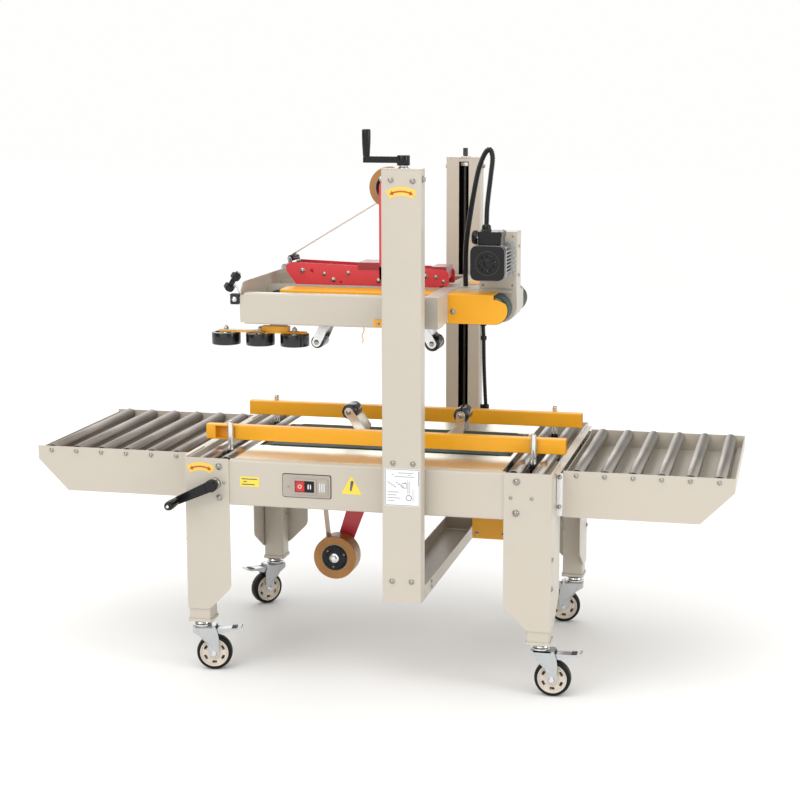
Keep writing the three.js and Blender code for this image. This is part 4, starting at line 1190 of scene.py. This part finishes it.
def presser(s):
    y = s * PRESS_Y
    arm = Piece("presser_arm_near" if s < 0 else "presser_arm_far", "head", "gold_paint",
                "gold_paint", "cream_paint", "bolt_steel")
    arm.plate("z", bar((PRESS_XS[0] - 8, y), (PRESS_XS[2] + 22, y), 14), 947, 951)
    arm.plate("z", bar((PRESS_XS[0] - 8, y), (PRESS_XS[1] + 20, y), 12), 951, 953.5, 1)
    arm.block((-322, -246), (y - 12, y + 12), (951, 966))
    arm.block((-300, -250), (y - 4, y + 4), (960, HEAD_LOW + 1), 1)
    for x in PRESS_XS:
        arm.rod("z", 5, PRESS_LOW + 4, 950, x, y, 2, 16)
        arm.turn("z", [(0, 951), (10, 951), (10, 953), (8, 953.6), (0, 953.6)], x, y, 2, 24)
        arm.turn("z", [(0, 953.6), (7.5, 953.6), (7.5, 959), (6.5, 960.4), (0, 960.4)], x, y, 2, 6)
        arm.rod("z", 4, 958, 964, x, y, 2, 12)
    arm.finish(edge=0.8)


def press_roller(name, body, x, y, replaces=()):
    wheel = Piece(name, body, "tyre", "roller_rubber", "zinc")
    r, low, top = 40, PRESS_LOW, PRESS_TOP
    wheel.turn("z", [(6, low + 3), (30, low + 3), (31.5, low), (37, low), (39.3, low + 1), (r, low + 3.2),
                     (r, top - 3.2), (39.3, top - 1), (37, top), (31.5, top), (30, top - 3), (6, top - 3),
                     (6, low + 3)], x, y, 0, 56)
    wheel.turn("z", [(5.3, low + 1.5), (12, low + 1.5), (13, low + 3.1), (13, top - 2.4), (12, top - 0.6),
                     (5.3, top - 0.6), (5.3, low + 1.5)], x, y, 1, 28)
    wheel.finish(edge=0, smooth=45, replaces=replaces)


for s in SIDES:
    presser(s)
for i, x in enumerate(PRESS_XS):
    press_roller(f"press_roller_near_{i + 1}", f"press_roller_{i + 1}", x, -PRESS_Y, f"press_roller_{i + 1}")
    press_roller(f"press_roller_far_{i + 1}", "head", x, PRESS_Y)

# ------------------------------------------------------------------ knobs and stop at the infeed end
knobs = Piece("head_clamp_knobs", "head", "black_plastic", "black_plastic", "chrome", "black_paint")


def star_knob(piece, centre, toward, radius=13.0, thick=15.0):
    """A lobed clamping knob: its face looks along toward."""
    axis = Vector(toward).normalized()
    side = axis.orthogonal().normalized()
    other = axis.cross(side)
    lobes, levels = 40, ((-0.5, 0.84), (-0.4, 0.97), (0.0, 1.0), (0.38, 0.94), (0.5, 0.72))
    points = []
    for depth, grow in levels:
        for k in range(lobes):
            a = 2 * math.pi * k / lobes
            r = radius * grow * (1 + 0.11 * math.cos(5 * a))
            spoke = side * math.cos(a) + other * math.sin(a)
            points.append(tuple(Vector(centre) + axis * depth * thick + spoke * r))
    piece.take(points, ring_faces(len(levels), lobes))


KNOB_ROD = [(-398, -302, 1068), (-384, -302, 1093), (-366, -302, 1118)]
# a steel rod in a black sleeve
for radius, finish in ((5, 1), (7.5, 0)):
    knobs.tube(KNOB_ROD, radius, finish, 14)
star_knob(knobs, (-393, -302, 1078), (0.55, 0, 0.83), 14, 17)
star_knob(knobs, (-374, -302, 1107), (0.55, 0, 0.83), 13, 17)
knobs.tube([(-384, -302, 1093), (-372, -300, 1078), (-364, -297, 1062)], 3.2, 1, 10)
knobs.plate("y", rectangle((-391, -366), (1031, 1060), 3), -304, -284, 2)
knobs.bolt("y", -379, 1045, -304, -1, 7, 1)
knobs.finish(edge=0.8, smooth=45)

latch = Piece("head_yellow_stop", "head", "gold_paint", "gold_paint", "bolt_steel")
latch.plate("y", rectangle((12, 42), (981, 1000), 3), -306, -300.2)
latch.bolt("y", 24, 990, -306, -1, 5, 1)
latch.tube([(-22, -285, 981), (-19, -286, 968), (-25, -287, 955), (-22, -287, 943), (-24, -286, 934)], 1.3,
           0, 8)
latch.finish(edge=0.6)

# ------------------------------------------------------------------ drive motor
MOTOR_X, MOTOR_Z, MOTOR_HALF = 300.0, 1147.0, 48.0


def squircle(half, radius):
    return rectangle((MOTOR_X - half, MOTOR_X + half), (MOTOR_Z - half, MOTOR_Z + half), radius)


motor = Piece("motor_fan_cap", "head", "black_metal", "black_plastic", "dark_steel", "cast_aluminium")
spokes = 10
openings = []
for k in range(spokes):
    a0, a1 = 36 * k + 7, 36 * k + 29
    openings.append(arc((MOTOR_X, MOTOR_Z), 24, a0, a1, 4) + arc((MOTOR_X, MOTOR_Z), 16.5, a1, a0, 4))
motor.plate("y", squircle(MOTOR_HALF - 1.5, 20), -199, -195, 0, openings)
motor.plate("y", squircle(MOTOR_HALF - 0.2, 21), -195, -178, 0, [ring((MOTOR_X, MOTOR_Z), 30)])
motor.turn("y", [(25, -199.3), (29, -199.3), (30, -198.2), (30, -196), (25, -196), (25, -199.3)], MOTOR_X,
           MOTOR_Z, 0, 48)
motor.turn("y", [(0, -200.2), (9, -200.2), (11, -199.2), (11, -196), (0, -196)], MOTOR_X, MOTOR_Z, 0, 36)
motor.turn("y", [(31.5, -198.6), (31.5, -199.6), (33, -199.6), (33, -198.6), (31.5, -198.6)], MOTOR_X,
           MOTOR_Z, 1, 56)
rim = squircle(MOTOR_HALF - 0.6, 20)
motor.plate("y", rim, -195.2, -194.4, 2, [squircle(MOTOR_HALF - 1.6, 19)])
motor.puck("y", 29, -190, -186, MOTOR_X, MOTOR_Z, 1, 36)
for k in range(7):
    a = math.radians(360 * k / 7 + 10)
    c, s = math.cos(a), math.sin(a)
    motor.tube([(MOTOR_X + 10 * c, -194, MOTOR_Z + 10 * s), (MOTOR_X + 26 * c, -192, MOTOR_Z + 26 * s)], 2.0,
               2, 6)
motor.finish(edge=1.4, smooth=35, replaces="drive_motor")

frame_body = Piece("motor_body", "head", "zinc", "cast_aluminium", "bolt_steel", "dark_steel")
frame_body.plate("y", squircle(MOTOR_HALF - 0.1, 18), -177.8, -170.5)
for k in range(-4, 5):
    off = 9.4 * k
    tip = MOTOR_HALF - 1.5 - max(0.0, abs(off) - 30) * 0.9
    for side in SIDES:
        frame_body.block((MOTOR_X + side * 34, MOTOR_X + side * tip), (-171, -96),
                         (MOTOR_Z + off - 1.5, MOTOR_Z + off + 1.5))
        frame_body.block((MOTOR_X + off - 1.5, MOTOR_X + off + 1.5), (-171, -96),
                         (MOTOR_Z + side * 34, MOTOR_Z + side * tip))
# the motor's core between the fins is dark steel: painted shade, so the gaps between the fins read dark
frame_body.plate("y", squircle(MOTOR_HALF - 10, 18), -171, -96, 2)
frame_body.plate("y", squircle(MOTOR_HALF + 0.5, 12), -96, -86)
frame_body.plate("y", rectangle((258, 352), (1102, 1192), 8), -86, -61.4)
for k in range(6):
    frame_body.block((262 + 15 * k, 266 + 15 * k), (-86, -64), (1190, 1196))
    frame_body.block((352, 355.5), (-84, -64), (1109 + 13.5 * k, 1113 + 13.5 * k))
for x in (MOTOR_X - 38, MOTOR_X + 38):
    for z in (MOTOR_Z - 38, MOTOR_Z + 38):
        frame_body.bolt("y", x, z, -176, -1, 5, 1, washer=False)
frame_body.finish(edge=0.7)

box = Piece("motor_terminal_box", "head", "black_plastic", "black_plastic", "bolt_steel", "grey_plastic")
box.plate("z", rectangle((269, 333), (-178, -106), 6), 1190, 1216)
box.plate("z", rectangle((267, 335), (-180, -104), 7), 1216, 1230)
for x in (274, 328):
    for y in (-173, -111):
        box.bolt("z", x, y, 1230, 1, 4, 1, washer=False)
box.turn("x", [(0, 268), (17, 268), (17, 262), (14, 262), (14, 252), (0, 252)], -142, 1212, 1, 6)
box.turn("x", [(0, 263), (18.5, 263), (19.5, 261), (19.5, 255), (17, 249), (11, 246.5), (0, 246)], -142,
         1212, 0, 40)
box.turn("x", [(0, 247), (7, 247), (7, 245.6), (0, 245.4)], -142, 1212, 1, 24)
box.puck("z", 14, 1229, 1236, 288, -150, 2, 6)
box.turn("z", [(0, 1236), (12.5, 1236), (12.5, 1243), (9.5, 1247.5), (0, 1247.5)], 288, -150, 0, 40)
box.finish(edge=0.9)

# ------------------------------------------------------------------ conduits
UPPER_CONDUIT = [
    (288, -150, 1248), (290, -150, 1300), (299, -150, 1380), (303, -148, 1425), (296, -145, 1447),
    (281, -140, 1438), (262, -130, 1395), (245, -110, 1330), (228, -80, 1260), (213, -50, 1190),
    (205, -22, 1120), (203, -6, 1064),
]
COLUMN_CONDUIT = [
    (176, 399, 905), (178, 400, 860), (179, 401, 800), (181, 401, 740), (184, 401, 680),
    (188, 401, 620), (194, 400, 565), (199, 396, 530), (204, 384, 505), (212, 368.5, 497),
]


def spline(points, steps):
    """Catmull-Rom through the points, steps to each stretch."""
    path = [Vector(p) for p in points]
    path = [path[0] * 2 - path[1], *path, path[-1] * 2 - path[-2]]
    out = []
    for a, b, c, d in zip(path, path[1:], path[2:], path[3:]):
        for k in range(steps):
            t = k / steps
            out.append(0.5 * (2 * b + (c - a) * t + (2 * a - 5 * b + 4 * c - d) * t ** 2
                              + (3 * b - a - 3 * c + d) * t ** 3))
    out.append(path[-2])
    return out


def even(path, gap):
    """The same route with its points a set distance apart."""
    out, left = [path[0]], gap
    for a, b in zip(path, path[1:]):
        length, done = (b - a).length, 0.0
        while done + left <= length:
            done += left
            out.append(a + (b - a) * (done / length))
            left = gap
        left -= length - done
    return out


def corrugated(name, body, route, radius, replaces=()):
    """Corrugated conduit: its wall rises and falls every few millimetres."""
    piece = Piece(name, body, "black_plastic", "black_plastic")
    path = even(spline(route, 24), 1.1)
    radii = [radius - 1.5 * (i % 4 in (2, 3)) for i in range(len(path))]
    piece.tube(path, radii, 0, 16)
    piece.finish(edge=0, smooth=70, replaces=replaces)


corrugated("motor_conduit_hose", "head", UPPER_CONDUIT, 7.4, "motor_conduit")
corrugated("column_conduit_hose", "frame", COLUMN_CONDUIT, 6.6)
clips = Piece("conduit_clips", "frame", "black_plastic", "black_plastic", "bolt_steel")
for z, x in ((853, 178), (640, 187)):
    clips.sleeve("z", 6.8, 9.4, z, z + 12, x, 401, 0, 32)
    clips.block((x - 9, 170.2), (394, 408), (z, z + 12))
    clips.block((166.8, 171.6), (400, 408), (z, z + 12))
clips.turn("z", [(6.7, 896), (10, 896), (11, 900), (11, 908), (0, 908), (0, 905), (6.7, 905), (6.7, 896)],
           176, 399, 0)
clips.finish(edge=0.6)

# ------------------------------------------------------------------ tape heads
CHEEK = 45.0
upper_cheek = [
    (-250, 1000), (-232, 985), (120, 985), (136, 1000), (136, 1066), (162, 1066), (162, 1100), (152, 1112),
    (-60, 1116), (-296, 1124), (-312, 1116), (-312, 1100), (-280, 1058), (-250, 1040),
]
cheek_corner = [8, 8, 8, 8, 4, 6, 6, 8, 20, 12, 10, 8, 14, 8]
ROD_HALF, SPACER_HALF = 42.5, 42


def join_cheeks(piece, outline, corners, holes, bolts, spacers, rods, steel):
    """The two cheeks of a tape head, with their bolts in finish number steel, and what joins them."""
    for s in SIDES:
        piece.plate("y", rounded(outline, corners), s * CHEEK, s * (CHEEK - 3), 0, holes)
        for x, z, size in bolts:
            piece.bolt("y", x, z, s * CHEEK, s, size, steel)
    for xs, zs in spacers:
        piece.block(xs, (-SPACER_HALF, SPACER_HALF), zs, 0)
    for x, z in rods:
        piece.rod("y", 5, -ROD_HALF, ROD_HALF, x, z, steel + 1, 16)


upper_head = Piece("upper_head_cheeks", "head", "red_paint", "red_paint", "dark_red_paint", "bolt_steel",
                   "zinc")
join_cheeks(
    upper_head, upper_cheek, cheek_corner,
    holes=[ring((-235, 1100), 5.5, 20), ring((-150, 1070), 4, 16), ring((60, 1080), 6, 20)],
    bolts=((-262, 1100, 8), (-198, 1092, 6), (-172, 1076, 7), (-128, 1096, 6.5), (-40, 1076, 7),
           (30, 1100, 6),
           (96, 1092, 7), (126, 1090, 6), (148, 1078, 6)),
    spacers=(((-302, -290), (1096, 1110)), ((60, 72), (1092, 1106)), ((144, 154), (1084, 1100))),
    rods=((-250, 1070), (-100, 1100), (-100, 1000), (40, 1000), (120, 1050)),
    steel=2,
)
upper_head.block((-100, -38), (-46, 46), (1106, 1127), 1)
upper_head.block((112, 155), (-44, 44), (1098, 1119), 1)
UPPER_ROLL_X, _, UPPER_ROLL_Z = UPPER_ROLL
upper_head.plate("y", bar((-12, 1090), (UPPER_ROLL_X, UPPER_ROLL_Z), 26), -CHEEK, -CHEEK + 4, 0)
upper_head.finish(edge=1.0, replaces="tape_head_upper")

lower_head = Piece("lower_head_cheeks", "frame", "red_paint", "red_paint", "bolt_steel", "zinc")
join_cheeks(
    lower_head, [(-232, 600), (-240, 590), (-240, 512), (-205, 500), (130, 500), (145, 512), (145, 600)],
    [6, 6, 10, 10, 8, 8, 3],
    holes=[ring((-200, 560), 7, 20), ring((0, 565), 9, 24), ring((110, 560), 6, 20)],
    bolts=[(x, z, 7) for x, z in ((-226, 528), (-160, 580), (-80, 520), (28, 512), (134, 514), (134, 580))],
    spacers=(((-232, -220), (520, 534)), ((20, 34), (506, 518)), ((128, 140), (508, 522))),
    rods=((-190, 520), (-178, 588), (60, 510), (110, 520)),
    steel=1,
)
LOWER_ROLL_X, _, LOWER_ROLL_Z = LOWER_ROLL
lower_head.plate("y", bar((-90, 515), (LOWER_ROLL_X, LOWER_ROLL_Z), 30, 22), CHEEK, CHEEK - 4, 0)
lower_head.finish(edge=1.0, replaces="tape_head_lower")

guides = Piece("tape_guide_rollers", "head", "black_plastic", "black_plastic", "chrome")
for x, z, r in ((-303, 1133, 9), (-322, 1108, 8)):
    guides.turn("y", [(3, -30), (r - 1, -30), (r, -29), (r, 29), (r - 1, 30), (3, 30), (3, -30)], x, z, 0, 28)
    guides.rod("y", 3, -38, 38, x, z, 1, 12)
    for s in SIDES:
        guides.plate("y", bar((x, z), (-298, 1112), 6), s * 40, s * 38, 1)
guides.finish(edge=0.5)


def tape_arm(node, pivot, bend, end, radius, spring_side):
    """A swinging arm: two bent cheeks, its pivot tube, roller, cross bar and return spring."""
    arm = Piece(node + "_link", node, "zinc", "bright_zinc", "chrome", "roller_rubber", "bolt_steel")
    (px, pz), (ex, ez) = pivot, end
    heading = (Vector(bend) - Vector(pivot)).normalized()
    half_way = Vector(pivot) * 0.45 + Vector(bend) * 0.55
    for s in SIDES:
        arm.plate("y", bent_bar(pivot, bend, end, 13, 13), s * 38, s * 35, 0, [ring(tuple(half_way), 6, 20)])
        arm.turn("y", [(0, s * 38), (8, s * 38), (8, s * 39), (6, s * 40.4), (0, s * 40.4)], ex, ez, 3, 6)
        arm.puck("y", 8, s * 38, s * 40.5, px, pz, 3, 24)
    arm.rod("y", 9, -38, 38, px, pz, 0)
    bar_at = Vector(pivot) * 0.6 + Vector(bend) * 0.4
    arm.rod("y", 5, -36, 36, bar_at.x, bar_at.y, 0, 16)
    r = radius
    arm.turn("y",
             [(8, -34), (r - 4, -34), (r - 1, -32.6), (r, -30), (r, 30), (r - 1, 32.6), (r - 4, 34), (8, 34),
                   (8, -34)], ex, ez, 2, 48)
    arm.puck("y", 8, -34.6, 34.6, ex, ez, 1, 28)
    ahead = Vector((-heading.y, heading.x)) * spring_side
    coil, turns = [], 11
    for k in range(turns * 10 + 1):
        a = 2 * math.pi * k / 10
        run = 16 + 46 * k / (turns * 10)
        at = Vector((px, pz)) + heading * run + ahead * (10 + 4.2 * math.cos(a))
        coil.append((at.x, 24 + 4.2 * math.sin(a), at.y))
    arm.tube(coil, 0.8, 3, 6)
    arm.finish(edge=0.6, smooth=45, replaces=node)


tape_arm("upper_front_arm", (-207, 1063), (-200, 950), (-226, 894), 18, 1)
tape_arm("upper_rear_arm", (-14, 1037), (94, 930), (112, 900), 22, 1)
tape_arm("lower_front_arm", (-125, 530), (-98, 645), (-132, 694), 22, -1)
tape_arm("lower_rear_arm", (70, 560), (192, 655), (196, 697), 22, -1)


def tape_roll(node, finish_name):
    """Tape wound on its board core, held on a black hub with spokes."""
    (x0, x1), (y0, y1), (z0, z1) = spans(node)
    x, z, r = (x0 + x1) / 2, (z0 + z1) / 2, (z1 - z0) / 2
    roll = Piece(node + "_windings", node, "tape", finish_name, "core_board", "black_plastic")
    profile = [(41, y0 + 1.5), (r - 1, y0 + 1.2), (r, y0 + 2.2), (r, y1 - 2.2), (r - 1, y1 - 1.2),
               (41, y1 - 1.5),
               (41, y0 + 1.5)]
    roll.turn("y", profile, x, z, 0, 72)
    roll.sleeve("y", 38.5, 41.2, y0 + 1, y1 - 1, x, z, 1, 56)
    for s, face in ((1, y0), (-1, y1)):
        roll.turn("y",
                  [(9.6, face), (20, face), (21, face + s), (24, face + s * 1.2), (26, face + s * 3),
                   (31, face + s * 3),
                        (33, face + s * 1.2), (36, face), (38, face + s * 0.6), (38.4, face + s * 2),
                        (38.4, face + s * 6), (9.6, face + s * 6), (9.6, face)], x, z, 2, 56)
        for k in range(3):
            a = math.radians(120 * k + 20)
            roll.rod("y", 3.2, face + s * 2.2, face + s * 4, x + 28.5 * math.cos(a), z + 28.5 * math.sin(a),
                     1, 16)
    roll.sleeve("y", 34, 38.3, y0 + 5, y1 - 5, x, z, 2, 48)
    roll.sleeve("y", 9.7, 16, y0 + 5, y1 - 5, x, z, 2, 36)
    roll.finish(edge=0.5, smooth=40, replaces=node)


tape_roll("tape_roll_upper", "tape_upper")
tape_roll("tape_roll_lower", "tape_lower")

for name, body, x, z, s in (("upper_roll_axle", "head", UPPER_ROLL_X, UPPER_ROLL_Z, -1),
                            ("lower_roll_axle", "frame", LOWER_ROLL_X, LOWER_ROLL_Z, 1)):
    axle = Piece(name, body, "zinc", "chrome", "black_plastic")
    axle.rod("y", 9, s * 46, -s * 36, x, z, 0, 32)
    axle.turn("y", [(0, s * 45.2), (19, s * 45.2), (19, s * 47.5), (16, s * 49), (0, s * 49)], x, z, 0, 36)
    axle.turn("y", [(0, s * 49), (10, s * 49), (10, s * 55), (8.5, s * 56.5), (0, s * 56.5)], x, z, 0, 6)
    axle.turn("y", [(0, -s * 31), (13, -s * 31), (14, -s * 32), (14, -s * 35), (12, -s * 36), (0, -s * 36)],
              x, z, 0, 36)
    axle.turn("y", [(0, -s * 36), (9, -s * 36), (9, -s * 41), (7.5, -s * 42.5), (0, -s * 42.5)], x, z, 0, 6)
    axle.finish(edge=0.5)


STRAND_WIDTH = 46.0


def strand(name, body, start, end):
    """A flat run of tape between two points given as (x, z)."""
    piece = Piece(name, body, "tape", "tape_film")
    steps = 8
    line = [tuple(a + (b - a) * k / steps for a, b in zip(start, end)) for k in range(steps + 1)]
    outline = [(x, z + 0.35) for x, z in line] + [(x, z - 0.35) for x, z in reversed(line)]
    piece.plate("y", outline, -STRAND_WIDTH / 2, STRAND_WIDTH / 2)
    piece.finish(edge=0)


strand("tape_run_upper", "head", (UPPER_ROLL_X - 40, UPPER_ROLL_Z - 44), (-303, 1142.5))
strand("tape_run_lower", "frame", (LOWER_ROLL_X - 26, LOWER_ROLL_Z + 59), (-226, 507))

# ------------------------------------------------------------------ casters
CORNERS = {"near_left": (-480, -336, 12), "near_right": (480, -336, 0),
           "far_left": (-480, 336, 228), "far_right": (480, 336, 188)}
WHEEL_Z, TRAIL = 50.0, 33.0


def caster(corner):
    sx, sy, turn = CORNERS[corner]
    wx = sx + TRAIL
    about = (sx, sy, 0)
    fork = Piece(f"caster_fork_{corner}_pressing", f"caster_{corner}", "zinc", "zinc", "chrome", "dark_steel")
    cheek = [(sx - 24, 128), (sx + 38, 128), (sx + 46, 104), (wx + 15, 84), (wx + 14, 40), (wx - 14, 40),
             (wx - 17, 86), (sx - 26, 112)]
    for s in SIDES:
        fork.plate("y", rounded(cheek, [6, 6, 10, 12, 12, 12, 22, 8]), sy + s * 22, sy + s * 19.4)
        fork.turn("y",
                  [(0, sy + s * 22), (9, sy + s * 22), (9, sy + s * 23), (7, sy + s * 27), (0, sy + s * 27)],
                  wx, WHEEL_Z, 1, 6)
        fork.tube([(sx - 12, sy + s * 22.2, 118), (sx + 2, sy + s * 22.4, 92), (wx - 4, sy + s * 22.2, 68)],
                  1.6, 0, 8)
    fork.plate("z", rectangle((sx - 26, sx + 38), (sy - 22, sy + 22), 8), 123, 128)
    fork.turn("z", [(0, 128), (24, 128), (26, 129.5), (26, 132.5), (24, 134), (0, 134)], sx, sy, 1, 48)
    fork.puck("z", 21, 134, 136, sx, sy, 2, 48)
    fork.turn("z", [(0, 136), (25, 136), (26.5, 137.5), (25, 141.5), (20, 143), (0, 143)], sx, sy, 1, 48)
    fork.puck("z", 13, 143, 146.4, sx, sy, 0, 6)
    fork.rod("y", 5, sy - 22, sy + 22, wx, WHEEL_Z, 0)
    fork.twist(turn, about).finish(edge=0.7, smooth=42, replaces=f"caster_fork_{corner}")

    wheel = Piece(f"caster_wheel_{corner}_tyre", f"caster_wheel_{corner}", "tyre",
                  "tyre_rubber", "cream_plastic", "zinc", "dark_steel")
    wheel.turn("y", [(39, sy - 15), (41.5, sy - 16), (45.5, sy - 15.4), (48.6, sy - 12), (49.8, sy - 6),
                     (50, sy), (49.8, sy + 6), (48.6, sy + 12), (45.5, sy + 15.4), (41.5, sy + 16),
                     (39, sy + 15), (39, sy - 15)], wx, WHEEL_Z, 0, 64)
    holes = []
    for k in range(6):
        a0, a1 = 60 * k + 16, 60 * k + 44
        holes.append(rounded(arc((wx, WHEEL_Z), 31.5, a0, a1, 4) + arc((wx, WHEEL_Z), 24, a1, a0, 4), 2.5, 2))
    wheel.plate("y", ring((wx, WHEEL_Z), 39.5, 56), sy - 12, sy + 12, 1,
                holes + [ring((wx, WHEEL_Z), 5.6, 20)])
    wheel.plate("y", ring((wx, WHEEL_Z), 36, 48), sy - 1.5, sy + 1.5, 3, [ring((wx, WHEEL_Z), 5.6, 20)])
    for s in SIDES:
        y = sy + s * 12
        wheel.turn("y",
                   [(35, y - s), (40, y - s), (40, y + s * 3.4), (38.5, y + s * 4), (36, y + s * 2),
                    (35, y - s)],
                   wx, WHEEL_Z, 1, 56)
        wheel.turn("y", [(5.6, y - s), (17, y - s), (16, y + s * 5), (14, y + s * 6), (5.6, y + s * 6),
                         (5.6, y - s)], wx, WHEEL_Z, 1, 36)
    wheel.twist(turn, about).finish(edge=0.6, smooth=42, replaces=f"caster_wheel_{corner}")

    pedal = Piece(f"brake_pedal_{corner}_lever", f"brake_pedal_{corner}", "zinc", "zinc", "dark_steel")
    lever = [(sx + 38, 110), (sx + 41, 118.5), (sx + 62, 120), (sx + 96, 121), (sx + 110, 126),
             (sx + 113, 122),
             (sx + 98, 116), (sx + 72, 113), (sx + 54, 106)]
    pedal.plate("y", rounded(lever, 3, 3), sy - 15, sy + 15)
    for k in range(3):
        pedal.plate("y", bar((sx + 84 + 5 * k, 121.2 + 0.4 * k), (sx + 86 + 5 * k, 121.6 + 0.4 * k), 1.4),
                    sy - 13,
                    sy + 13, 1)
    for s in SIDES:
        pedal.plate("y",
                    rounded([(sx + 38, 108), (sx + 40, 120), (sx + 78, 121), (sx + 76, 113), (sx + 52, 104)],
                            3, 3),
                    sy + s * 16, sy + s * 14)
    pedal.twist(turn, about).finish(edge=0.7, replaces=f"brake_pedal_{corner}")


for corner in CORNERS:
    caster(corner)

# ------------------------------------------------------------------ floor
floor_finish = Finish("floor", 0.7)
floor_tones = [(0.3, (0.86, 0.86, 0.855)), (0.7, (0.88, 0.88, 0.875))]
floor_finish.colour(floor_finish.ramp(floor_finish.noise(0.8, 3.0), floor_tones))
bpy.ops.mesh.primitive_plane_add(size=60, location=(0, 0, 0))
floor = bpy.context.object
floor.name = "floor"
floor.data.materials.append(finishes["floor"])
